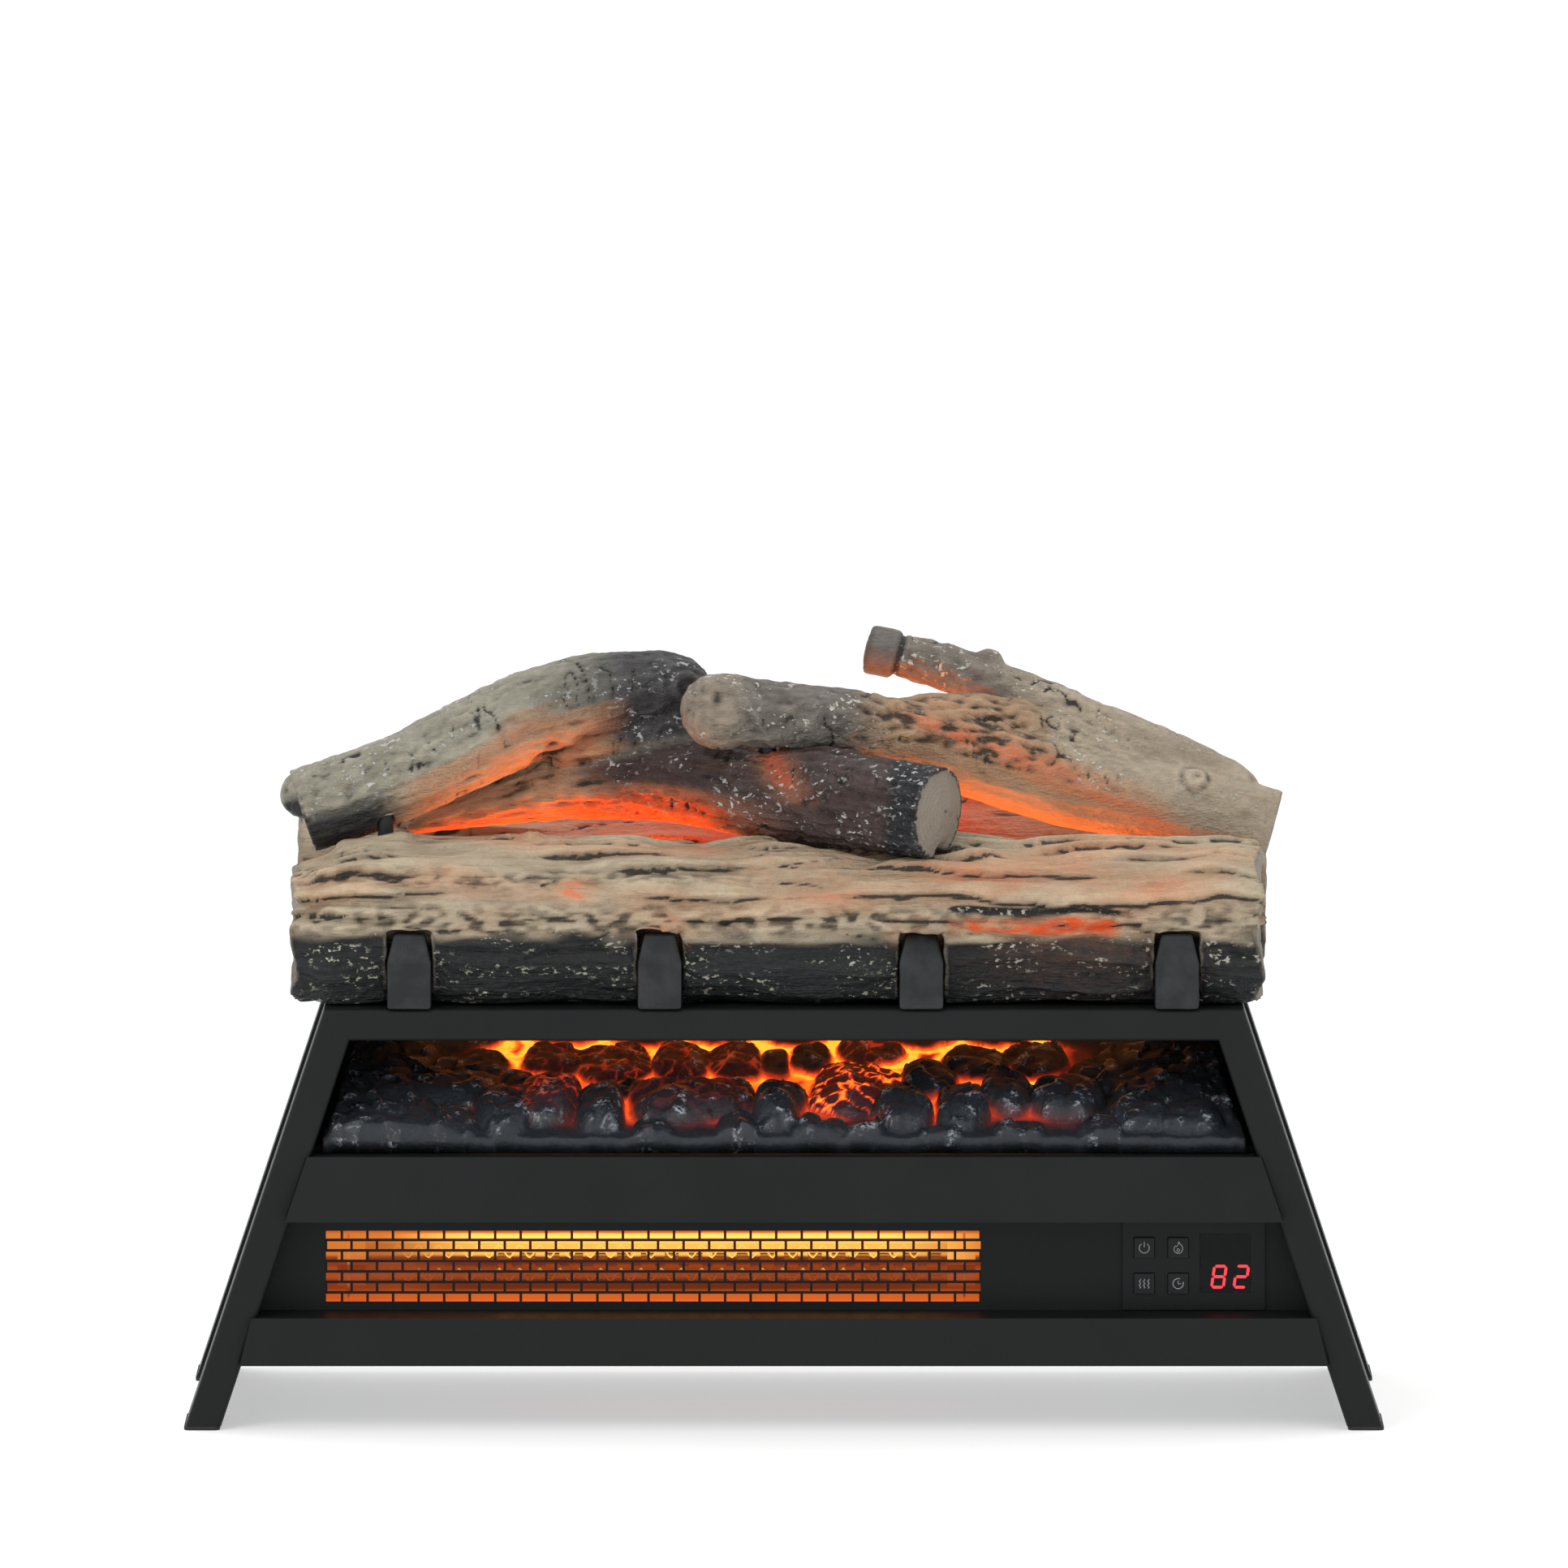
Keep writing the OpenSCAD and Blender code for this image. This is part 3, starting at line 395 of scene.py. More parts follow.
@dataclass(frozen=True)
class PaintedLog(Finish):
    """Moulded wood, painted by hand: dark paint and painted shade in the cracks, dry-brushed on the ridges,
    charred, and tinted orange with painted fire light.
    """

    MASKS: ClassVar[tuple[str, ...]] = ("relief", "char", "warm", "fleck", "cut", "dusk", "bare")

    crack: Colour
    wood: Colour
    ridge: Colour
    fleck: Colour
    cut: Colour = (0.36, 0.31, 0.25)
    dusk: Colour = (0.062, 0.056, 0.053)
    bare: Colour = (0.36, 0.245, 0.15)
    char: Colour = (0.009, 0.0105, 0.011)
    # Colours of the painted fire light, strong and faint.
    warm: Colour = (0.80, 0.13, 0.030)
    faint_fire_light: Colour = (0.60, 0.27, 0.13)
    rough: float = 0.55
    fibre: Point = (9, 1, 1)

    def wire(self, s: Shader) -> None:
        """Add the paint, its painted shade and its painted fire light, driven by the masks stored on the
        mesh.
        """
        relief, char, warm, fleck, cut, dusk, bare = (s.attribute(n) for n in self.MASKS)
        fine = s.grain(0.0010, self.fibre, 4.0, 0.6)
        pebble = s.grain(0.0032, (1.4, 1, 1), 3.0)
        blotch = s.grain(0.018, (1.8, 1, 1), 4.0)
        # Low relief gets the dark crack colour: the cracks' dark paint, deepened with painted shade.
        tall = (relief + (fine - 0.5) * 0.30 + (pebble - 0.5) * 0.25).clamp()
        wood = s.ramp(tall, ((0.16, self.crack), (0.36, self.wood), (0.80, self.ridge)))
        dusks = scaled(self.dusk, 0.4), scaled(self.dusk, 1.9)
        bares = scaled(self.bare, 0.16), scaled(self.bare, 1.5)
        dark = s.ramp(tall, ((0.15, dusks[0]), (0.45, self.dusk), (0.85, dusks[1])))
        raw = s.ramp(tall, ((0.12, bares[0]), (0.38, self.bare), (0.75, bares[1])))
        clean = s.mix(bare, s.mix(dusk, wood, dark), raw)
        aged = s.mix(blotch.step(0.42, 0.68) * 0.3, clean, self.wood, "MULTIPLY")
        burnt = s.mix(tall.step(0.35, 0.95), self.char, scaled(self.char, 2.6))
        turns = (s.attribute("ring") + (blotch - 0.5) * 3.0) * 2.6
        rings = s.node("ShaderNodeMath", {"operation": "SINE"}, {0: turns})
        sawn = s.mix(rings * 0.08 + fine * 0.6, scaled(self.cut, 0.66), self.cut)
        spots = s.grain(0.0026, (1.5, 1, 1), 4.0, 0.65).step(0.565, 0.61)
        brushed = (fleck * spots).clamp()
        painted = s.mix(brushed * 0.9, s.mix(cut, s.mix(char, aged, burnt), sawn), self.fleck)
        # Painted fire light: an orange tint over the paint, strongest on raised parts, and a faint glow.
        lit = (warm * (blotch * 0.5 + 0.45 + pebble * 0.6)).clamp()
        shade = s.mix(lit.step(0.25, 0.9), self.faint_fire_light, self.warm)
        wear_and_firelight = s.mix(0.40, shade, s.mix(1.0, shade, painted, "OVERLAY"))
        firelit_raised = s.mix(tall.step(0.1, 0.4), painted, wear_and_firelight)
        s.set(Base_Color=s.mix((lit * 1.1).clamp() * (1 - brushed * 0.5), painted, firelit_raised))
        s.set(Emission_Color=s.mix(lit * (tall * 0.6 + 0.3), (0, 0, 0), shade), Emission_Strength=0.07)
        rough = self.rough - (char + dusk) * 0.14 - brushed * 0.15 + (fine - 0.5) * 0.25
        s.set(Roughness=rough.clamp(), Specular_IOR_Level=0.26)
        s.bump(fine * (0.6 + bare * 0.4) + pebble * 0.9 + brushed * 0.35, 0.0030, 0.9)


@dataclass(frozen=True)
class EmberCoal(Finish):
    """Glossy black coals with light coming up between them."""

    HEAT: ClassVar[tuple[tuple[float, Colour], ...]] = (
        (0.0, (0, 0, 0)), (0.20, (0.05, 0.003, 0.001)), (0.45, (0.34, 0.022, 0.004)),
        (0.68, (0.90, 0.080, 0.009)), (0.88, (1.0, 0.18, 0.011)), (1.0, (1.0, 0.42, 0.030)))

    glow: float = 1.5

    def wire(self, s: Shader) -> None:
        """Add the coal, pale specks on its ridges that are ash paint and painted glints, and the heat, driven
        by values stored on the mesh.
        """
        glow, ridge = s.attribute("glow"), s.attribute("ridge")
        fine = s.grain(0.0016, detail=5.0, rough=0.6)
        vein = s.grain(0.006, (1.5, 1, 1), 5.0, 0.65)
        # Pale specks on the ridges: ash-white paint and painted glints.
        ash_and_glint = (ridge * vein.step(0.50, 0.62) * fine.step(0.42, 0.6)).clamp()
        coal = s.mix(fine, (0.009, 0.0110, 0.0145), (0.030, 0.036, 0.044))
        s.set(Base_Color=s.mix(ash_and_glint, coal, (0.40, 0.44, 0.50)))
        heat = (glow * (0.72 + vein * 0.56)).clamp()
        s.set(Emission_Color=s.ramp(heat, self.HEAT), Emission_Strength=self.glow)
        s.set(Roughness=fine * 0.3 + 0.30 - ridge * 0.22, Coat_Weight=ridge * 0.5, Specular_IOR_Level=0.3)
        s.bump(fine * 0.3 + vein, 0.0012, 0.6)


# ---------------------------------------------------------------- mesh tools


SEED_SHIFT = np.array([7.31, 3.77, 5.13])
FACET_SHIFT = 11.7
FACET_TURNS = ((12.9, 78.2, 37.7), (39.3, 11.1, 83.1), (53.1, 27.9, 91.3))
BEVEL_ANGLE = math.radians(35)


class Edge(Enum):
    """How far the edges of a kind of part are softened, in millimetres."""

    SHARP = 0.0
    FINE = 0.15
    SHEET = 0.45
    CAST = 1.4


def choose(piece: bpy.types.Object) -> None:
    """Make one object the only selected and active one."""
    bpy.ops.object.select_all(action="DESELECT")
    piece.select_set(True)
    bpy.context.view_layer.objects.active = piece


def apply_modifier(piece: bpy.types.Object, kind: str, **settings: Union[str, float, int]) -> None:
    """Apply one new modifier to a piece."""
    modifier = piece.modifiers.new(kind.lower(), kind)
    for key, value in settings.items():
        setattr(modifier, key, value)
    choose(piece)
    bpy.ops.object.modifier_apply(modifier=modifier.name)


def copy_of(node: str, name: str) -> bpy.types.Object:
    """Return a new object with a copy of a frame node's mesh, its doubles merged."""
    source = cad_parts[node]
    piece = bpy.data.objects.new(name, source.data.copy())
    bpy.context.scene.collection.objects.link(piece)
    piece.data.materials.clear()
    choose(piece)
    bpy.ops.object.mode_set(mode="EDIT")
    bpy.ops.mesh.select_all(action="SELECT")
    bpy.ops.mesh.remove_doubles(threshold=MERGE)
    bpy.ops.mesh.normals_make_consistent(inside=False)
    bpy.ops.object.mode_set(mode="OBJECT")
    return piece


def paint(piece: bpy.types.Object, material: bpy.types.Material) -> None:
    """Give a piece one material."""
    piece.data.materials.clear()
    piece.data.materials.append(material)


@dataclass(frozen=True)
class Dressing:
    """A finish for some of the frame's nodes, and how far their edges are softened."""

    finish: Finish
    nodes: Sequence[str]
    edge: Edge = Edge.SHARP

    def build(self) -> None:
        """Give the nodes the finish and the soft edges."""
        for node in self.nodes:
            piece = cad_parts[node]
            for slot in piece.material_slots:
                slot.material = self.finish.build()
            if self.edge is not Edge.SHARP:
                self.soften(piece)
            LOG.info("dressed %s", node)

    def soften(self, piece: bpy.types.Object) -> None:
        """Round a node's edges with modifiers."""
        weld = piece.modifiers.new("weld", "WELD")
        weld.merge_threshold = MERGE
        bevel = piece.modifiers.new("soft_edge", "BEVEL")
        bevel.width = self.edge.value * MM
        bevel.segments = 2
        bevel.limit_method = "ANGLE"
        bevel.angle_limit = BEVEL_ANGLE
        bevel.harden_normals = False


def ride(piece: bpy.types.Object, body: str, slot: str, *replaced: str) -> None:
    """Put a piece on a body, and hide the frame nodes that it stands for."""
    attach(piece, body)
    if replaced:
        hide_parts(*replaced)
    LOG.info("%s: %d faces on %s", piece.name, len(piece.data.polygons), body)


def noise_at(points: np.ndarray, size: Union[float, Point], seed: float = 0.0) -> np.ndarray:
    """Return smooth noise from -1 to 1 for each row of points; sizes are in millimetres, a seed moves it."""
    placed = points / np.asarray(size) + seed * SEED_SHIFT
    return np.array([noise.noise(p) for p in placed.tolist()])


def facets_at(points: np.ndarray, size: Point, seed: float = 0.0) -> np.ndarray:
    """Return heights of about -0.5 to 0.5 that make flat faces, each tilted its own way, with sharp edges."""
    placed = points / np.asarray(size) + seed * FACET_SHIFT
    middles = np.array([tuple(noise.voronoi(p)[1][0]) for p in placed.tolist()])
    lean_x, lean_y, lift = (middles @ turn for turn in FACET_TURNS)
    tilt = np.stack([np.sin(lean_x), np.cos(lean_y)], axis=1)
    return ((placed - middles)[:, :2] * tilt).sum(axis=1) + 0.15 * np.sin(lift)


def smooth(value: np.ndarray, low: float, high: float) -> np.ndarray:
    """Return a smooth rise from 0 at low to 1 at high."""
    t = np.clip((value - low) / (high - low), 0, 1)
    return t * t * (3 - 2 * t)


def bell(value: np.ndarray, middle: float, half: float) -> np.ndarray:
    """Return 1 at the middle, falling smoothly to 0 half away."""
    return 1 - smooth(np.abs(value - middle), 0, half)


def within(value: np.ndarray, rise: Span, fall: Span) -> np.ndarray:
    """Return a smooth rise over one span and a smooth fall over another."""
    return smooth(value, *rise) * (1 - smooth(value, *fall))


def read_points(piece: bpy.types.Object) -> tuple[np.ndarray, np.ndarray]:
    """Return a mesh's vertices in millimetres and their normals."""
    count = len(piece.data.vertices)
    spots, normals = np.empty(count * 3), np.empty(count * 3)
    piece.data.vertices.foreach_get("co", spots)
    piece.data.vertices.foreach_get("normal", normals)
    return spots.reshape(-1, 3) / MM, normals.reshape(-1, 3)


def write_points(piece: bpy.types.Object, spots: np.ndarray) -> None:
    """Set a mesh's vertices, given in millimetres."""
    piece.data.vertices.foreach_set("co", (spots * MM).ravel())
    piece.data.update()


def store(piece: bpy.types.Object, name: str, values: np.ndarray) -> None:
    """Store one value per vertex for the material to read."""
    layer = piece.data.attributes.new(name, "FLOAT", "POINT")
    layer.data.foreach_set("value", values.astype(np.float32))


# ---------------------------------------------------------------- logs


LIMB_SAMPLES = 90
LIMB_SPACING = 100


@dataclass
class Surface:
    """A log's surface, measured along and across the middle line of its nearest limb."""

    spots: np.ndarray
    normals: np.ndarray
    along: np.ndarray
    across: np.ndarray
    over: np.ndarray
    facing: np.ndarray
    depths: list[np.ndarray]
    seed: float

    @property
    def local(self) -> np.ndarray:
        """Return each vertex as along, across and over the middle line."""
        return np.stack([self.along, self.across, self.over], axis=1)

    @property
    def radius(self) -> np.ndarray:
        """Return each vertex's distance from the middle line."""
        return np.hypot(self.across, self.over)

    def noise(self, size: Union[float, Point], turn: float = 0.0) -> np.ndarray:
        """Return smooth noise that follows the limbs, another pattern for each turn."""
        return noise_at(self.local, size, self.seed + turn)

    def still(self, size: Union[float, Point], turn: float = 0.0) -> np.ndarray:
        """Return smooth noise that doesn't follow the limbs."""
        return noise_at(self.spots, size, self.seed + turn)

    def gap(self, middle: Point, limit: float) -> np.ndarray:
        """Return how far each vertex is from a point, held at a limit."""
        return np.minimum(np.linalg.norm(self.spots - np.array(middle), axis=1), limit)

    def share(self, limb: int, blend: float = 5.0) -> np.ndarray:
        """Return 1 where a limb is the nearest one, fading to 0 over a width in millimetres."""
        others = [depth for i, depth in enumerate(self.depths) if i != limb]
        return smooth(np.min(others, axis=0) - self.depths[limb], -blend, blend)


def measure(piece: bpy.types.Object, limbs: Sequence[Sequence[Knot]], seed: float) -> Surface:
    """Measure a log's vertices against its limbs' middle lines.

    Args:
        piece: The log.
        limbs: One list of points, each X, Y, Z and radius in millimetres, for each limb.
        seed: Moves the log's noise.

    Returns:
        The surface, each vertex measured on the nearest limb.
    """
    spots, normals = read_points(piece)
    best = np.full(len(spots), np.inf)
    out = [np.zeros(len(spots)) for _ in range(4)]
    depths = []
    offset = 0.0
    rows = np.arange(len(spots))
    for limb in limbs:
        knots = np.array(limb, dtype=float)
        steps = np.linalg.norm(np.diff(knots[:, :3], axis=0), axis=1)
        reach = np.concatenate([[0], np.cumsum(steps)])
        samples = np.linspace(0, reach[-1], LIMB_SAMPLES)
        line = np.stack([np.interp(samples, reach, knots[:, k]) for k in range(4)], axis=1)
        middle, girth = line[:, :3], line[:, 3]
        tangent = np.gradient(middle, axis=0)
        tangent /= np.linalg.norm(tangent, axis=1, keepdims=True)
        side = np.cross(tangent, [0, 0, 1.0])
        side /= np.linalg.norm(side, axis=1, keepdims=True)
        up = np.cross(side, tangent)
        gap = np.linalg.norm(spots[:, None, :] - middle[None, :, :], axis=2) - girth[None, :]
        near = gap.argmin(axis=1)
        depth = gap[rows, near]
        closer = depth < best
        rel = spots - middle[near]
        values = (
            samples[near] + (rel * tangent[near]).sum(axis=1) + offset, (rel * side[near]).sum(axis=1),
            (rel * up[near]).sum(axis=1), (normals * tangent[near]).sum(axis=1))
        for target, value in zip(out, values):
            target[closer] = value[closer]
        best = np.minimum(best, depth)
        depths.append(depth)
        offset += reach[-1] + LIMB_SPACING
    return Surface(spots, normals, *out, depths, seed)


@dataclass
class Relief:
    """What a log's carving gives: how far each vertex moves, and what the paint reads."""

    push: np.ndarray
    relief: np.ndarray
    char: np.ndarray
    # How much painted fire light the paint shows.
    warm: np.ndarray
    fleck: np.ndarray
    cut: np.ndarray
    dusk: np.ndarray
    bare: np.ndarray


@dataclass
class MouldedLog:
    """One moulded log, made from its frame node with bark and paint added."""

    node: str
    limbs: Sequence[Sequence[Knot]]
    finish: PaintedLog
    slot: str
    voxel: float = 1.5
    seed: float = 1.0

    def carve(self, s: Surface) -> Relief:
        """Return the log's relief and paint; each kind of log has its own."""
        raise NotImplementedError

    def ends(self, s: Surface, limit: float = 0.8) -> np.ndarray:
        """Return 1 on sawn ends."""
        return smooth(np.abs(s.facing), limit, limit + 0.12)

    def build(self) -> None:
        """Remesh the node finely, carve it, paint it and put it on the stand."""
        piece = copy_of(self.node, self.node + "_skin")
        apply_modifier(piece, "REMESH", mode="VOXEL", voxel_size=self.voxel * MM)
        apply_modifier(piece, "SMOOTH", factor=0.6, iterations=5)
        surface = measure(piece, self.limbs, self.seed)
        carved = self.carve(surface)
        write_points(piece, surface.spots + surface.normals * carved.push[:, None])
        for name in PaintedLog.MASKS:
            store(piece, name, np.clip(getattr(carved, name), 0, 1))
        store(piece, "ring", surface.radius)
        choose(piece)
        bpy.ops.object.shade_smooth()
        paint(piece, self.finish.build())
        ride(piece, STAND, self.slot, self.node)


@dataclass
class SplitLog(MouldedLog):
    """A straight split log: long wavy ledges above, charred smooth below."""

    radius: float = 40.0
    ledges: float = 0.085
    char_top: float = 248.0
    glow_top: float = 1.0

    def carve(self, s: Surface) -> Relief:
        """Return ledges that run along the log, fibres between them, and a charred lower third."""
        x, z = s.spots[:, 0], s.spots[:, 2]
        front = smooth(-s.normals[:, 1], -0.2, 0.4)
        top = smooth(s.normals[:, 2], 0.1, 0.8)
        girth = np.arctan2(s.over, -s.across) * self.radius
        drift = s.noise((130, 30, 30)) * 11 + s.noise((38, 18, 18), 1) * 3.2
        level = (girth + drift + s.noise((12, 9, 9), 12) * 1.1) * self.ledges
        tooth = level - np.floor(level)
        ledge = within(tooth, (0, 0.8), (0.9, 1.0))
        # Painted shade under each ledge: the ledge undersides get lower relief, so darker paint.
        under = bell(tooth, 0.985, 0.075) + bell(tooth, -0.015, 0.075)
        lumps = s.noise((40, 22, 22), 2)
        fibre = s.noise((46, 2.8, 2.8), 3)
        fine = s.noise((15, 2.0, 2.0), 4)
        calm = smooth(s.noise((55, 20, 20), 5), -0.3, 0.15)
        split = 1 - smooth(np.abs(s.noise((85, 9, 9), 6)), 0.0, 0.05)
        split = split * smooth(s.noise((60, 20, 20), 13), 0.0, 0.25)
        char = 1 - smooth(z + s.noise((20, 7, 7), 7) * 6 - self.char_top, -4, 4)
        amount = calm * (1 - char * 0.6)
        push = ledge * 4.4 * amount + lumps * 1.8 + fibre * 0.6 + fine * 0.3 - split * 1.2 - 1.9
        relief = 0.52 + ledge * 0.22 * amount + fibre * 0.16 + fine * 0.12 + lumps * 0.08
        upper = 0.8 * bell(z, self.char_top + 29, 7) * (1 - smooth(x, -70, 20))
        mottled = (bell(z, self.char_top + 8, 13) + upper) * smooth(s.noise((7, 3, 3), 9), -0.15, 0.3) * front
        relief = relief - (under * amount * 0.72 + split * 0.45) - mottled * 0.34
        push = push - mottled * 0.7
        push, relief, char, warm = self.hollow(s, push, relief, char)
        ends = self.ends(s)
        push = push * (1 - ends) + ends * s.still(7) * 0.9
        fleck = (0.12 + 0.88 * char) * (1 - ends) * smooth(s.noise((26, 8, 8), 8), -0.2, 0.25)
        # Painted fire light on the front above the char line and on the top.
        patchy = smooth(s.noise((60, 25, 25), 10) + bell(x, 60, 220) * 0.3, 0.0, 0.4)
        warm = warm + 0.22 * bell(z, self.char_top + 20, 24) * front * patchy
        warm = warm + self.glow_top * 0.3 * top * smooth(s.noise((60, 30, 30), 11), -0.1, 0.4)
        cut = ends * (1 - char * 0.8)
        char, warm = char * (1 - ends * 0.25), warm * (1 - ends)
        return Relief(push, relief, char, warm, fleck, cut, mottled * 0.5, np.zeros(len(x)))

    def hollow(self, s: Surface, push: np.ndarray, relief: np.ndarray, char: np.ndarray) -> tuple:
        """Return the carving with the glow that falls on a log behind the embers."""
        x, z = s.spots[:, 0], s.spots[:, 2]
        seen = smooth(-s.normals[:, 1] + s.normals[:, 2], 0.2, 0.9) * bell(x, -10, 230)
        deep = 0.55 + 0.45 * smooth(x, -60, 60)
        return push, relief, char, seen * deep * smooth(z, 260, 280) * 1.2


@dataclass
class FrontLog(SplitLog):
    """The front log, with a split hollow on its right and spots that glow with painted fire light."""

    hollow_rise: Span = (78.0, 86.0)
    hollow_fall: Span = (162.0, 172.0)
    hollow_low: Span = (247.0, 252.0)
    hollow_high: Span = (257.0, 258.5)
    lip_z: float = 260.5
    fire_light_spots: Sequence[Knot] = (
        (-104.0, 270.0, 9.0, 0.5), (-58.0, 250.0, 12.0, 0.5), (66.0, 250.0, 13.0, 0.5),
        (30.0, 284.0, 22.0, 0.3), (-15.0, 283.0, 26.0, 0.2), (150.0, 262.0, 60.0, 0.12))
    knob: Point = (-127.0, -60.0, 291.0)

    def hollow(self, s: Surface, push: np.ndarray, relief: np.ndarray, char: np.ndarray) -> tuple:
        """Return the carving with a long hollow under a dark lip, and patches of painted fire light in the
        hollow and around the embers.
        """
        x, z = s.spots[:, 0], s.spots[:, 2]
        front = smooth(-s.normals[:, 1], 0.0, 0.4)
        wavy = noise_at(s.spots, (24, 40, 40), 3.0) * 2.2
        inside = within(x, self.hollow_rise, self.hollow_fall) * front
        lip = bell(z + wavy, self.lip_z, 3.4) * inside
        pit = within(z + wavy, self.hollow_low, self.hollow_high) * inside
        push = push - pit * 5.5 + lip * 2.2
        relief = np.where(lip > 0.35, relief * (1 - 0.95 * lip), relief + pit * 0.3)
        # Painted fire light glowing in the hollow and in patches around the embers.
        warm = pit * (0.52 + 0.5 * noise_at(s.spots, (9, 6, 4), 8.0))
        for ex, ez, r, power in self.fire_light_spots:
            gap = np.hypot(x - ex, (z - ez) * 1.5) + noise_at(s.spots, (14, 9, 6), ex) * 5
            patch = (1 - smooth(gap, 0, r * 1.6)) * (0.6 + 0.7 * noise_at(s.spots, (6, 4, 4), ex))
            warm = warm + patch * power * smooth(-s.normals[:, 1], -0.5, 0.1)
        lump = 1 - smooth(s.gap(self.knob, 9.0), 1.0, 8.5)
        char = np.maximum(char * (1 - pit * 0.8), smooth(lip, 0.25, 0.7) * 0.95)
        return push + lump * 4.0, relief + lump * 0.1, char, warm * (1 - smooth(lip, 0.2, 0.6))


@dataclass
class BarkLog(MouldedLog):
    """A log of bent limbs with knobbly bark; the carving starts from the bark that this class gives."""

    def bark(self, s: Surface) -> tuple[np.ndarray, np.ndarray, np.ndarray]:
        """Return the bark's push and relief, and how much fleck it carries."""
        knob = s.noise((8, 5, 5), 2)
        lumps = s.noise((42, 18, 18), 3)
        fibre = s.noise((22, 2.6, 2.6), 4)
        fine = s.noise((4.5, 2.4, 2.4), 5)
        drift = s.local + s.noise(8, 1)[:, None] * 3.0
        crack = 1 - smooth(np.abs(noise_at(drift, (9, 26, 26), s.seed + 7)), 0.0, 0.07)
        crack = crack * smooth(s.noise((30, 14, 14), 8), 0.12, 0.3)
        push = knob * 1.05 - crack * 1.0 + lumps * 1.3 + fibre * 0.4 + fine * 0.45 - 0.5
        relief = 0.5 + knob * 0.26 - crack * 0.42 + fine * 0.2 + fibre * 0.12
        fleck = smooth(s.noise((24, 12, 12), 6), -0.25, 0.25)
        return push, relief, fleck


@dataclass
class LeftLog(BarkLog):
    """The left log: a grey limb that burns to charcoal, and a charred fork with a pale sawn end."""

    burn_x: Span = (-145.0, -85.0)
    knot: Point = (-50.0, -22.0, 364.0)
    notch: Point = (79.0, -87.0, 287.0)
    torn: Point = (-108.0, -30.0, 326.0)

    def carve(self, s: Surface) -> Relief:
        """Return the grey bark, the burnt upper end, the torn fork, the charred branch and its cut end."""
        x, z = s.spots[:, 0], s.spots[:, 2]
        down, forward = -s.normals[:, 2], -s.normals[:, 1]
        fork = s.share(2)
        limb = 1 - fork
        wobble = s.noise((40, 18, 18))
        push, relief, fleck = self.bark(s)
        ridges = 1 - np.abs(s.noise((40, 4.0, 4.0), 20))
        fibre = s.noise((40, 2.6, 2.6), 21)
        lit = smooth(down + 0.4 * forward + wobble * 0.4, 0.12, 0.62) * smooth(x, -205, -178)
        lit_limb = lit * limb * (1 - smooth(x + wobble * 12, -95, -72))
        tail = fork * (1 - smooth(x + wobble * 14 - (300 - z) * 0.5, -100, -76))
        tear = 1 - smooth(s.gap(self.torn, 60) + wobble * 10, 8, 30)
        # Tan on the lit limb's underside is painted fire light; the tail and the tear are bare wood.
        bare = np.clip(lit_limb * 0.6 + tail + tear, 0, 1)
        shreds = s.still((9, 9, 4), 22) * tear
        push = push * (1 - bare * 0.5) + fibre * 0.9 * bare + shreds * 3.4
        relief = relief * (1 - bare * 0.5) + (0.30 + fibre * 0.5 + shreds * 0.75) * bare * (1 - 0.35 * tear)
        dusk = limb * smooth(x + wobble * 14 - (z - 340) * 0.3, *self.burn_x)
        heavy = fork * (1 - tail)
        char = heavy * (1 - smooth(x, -50, -10) * 0.3)
        dusk = np.clip(dusk + heavy * smooth(x, -60, -10), 0, 1)
        foot = smooth(down + 0.3 * forward, 0.15, 0.6) * (1 - smooth(x + fibre * 12, -208, -186)) * limb
        seam = limb * smooth(x, -100, -84) * smooth(down + 0.5 * forward + wobble * 0.5, 0.35, 0.8)
        char = np.clip(char + foot * 0.95 + seam * 0.5, 0, 1)
        push = push + heavy * (ridges ** 3 * 1.3 - 0.6)
        relief = relief + heavy * (ridges ** 3 * 0.3 - 0.12)
        gap = s.gap(self.knot, 18)
        swell = 1 - smooth(gap, 0, 17)
        push = push + swell * 2.4 + np.cos(gap * 0.9) * swell * 1.1
        relief = relief + np.cos(gap * 0.9) * swell * 0.4 - swell * 0.15
        ends = self.ends(s, 0.75)
        sawn = ends * smooth(x, 40, 60)
        rim = sawn * smooth(s.radius + fibre * 1.5, 20.0, 21.8)
        line = sawn * bell(s.over + s.across * 0.3 + fibre * 1.4, 1.5, 1.0) * smooth(s.across, -14, 0)
        band = fork * smooth(x - (z - 308) * 0.1, 47, 55) * (1 - sawn)
        chip = 1 - smooth(s.gap(self.notch, 12), 2, 7)
        push = push * (1 - ends) + ends * s.still(8) * 0.5 - line * 0.8 + rim * 0.8 - chip * 4.0
        char = np.clip(char + band + rim * 0.4 + chip, 0, 1) * (1 - sawn * (1 - rim) * (1 - chip))
        valley = bell(x + (z - 315) * 0.6, 4, 17) * fork * smooth(s.normals[:, 2] + 0.5 * forward, 0.2, 0.9)
        rest = fork * bell(x, 12, 52) * smooth(s.normals[:, 2], 0.2, 0.8)
        push = push - valley * 1.6 + rest * 3.4
        under = fork * smooth(down + 0.25 * forward, 0.05, 0.75)
        # Painted fire light on the lit limb, the fork's tail, underside and valley, the tear and the char.
        warm = lit_limb * 0.32 + tail * (0.14 + 0.5 * smooth(down, -0.1, 0.7)) + tear * 0.18
        warm = (warm + under * bell(x, -55, 66) * 0.9 + valley * 0.5 + heavy * 0.06 * (1 - band)) * (1 - sawn)
        fleck = fleck * (1 - bare) * (1 - ends) * (0.75 + 0.25 * heavy) * (1 - foot) + band * 0.25 + rim * 0.7
        cut = sawn * (1 - rim) * (1 - line)
        return Relief(push, relief, char, warm, fleck, cut, dusk * (1 - sawn), bare * (1 - char))


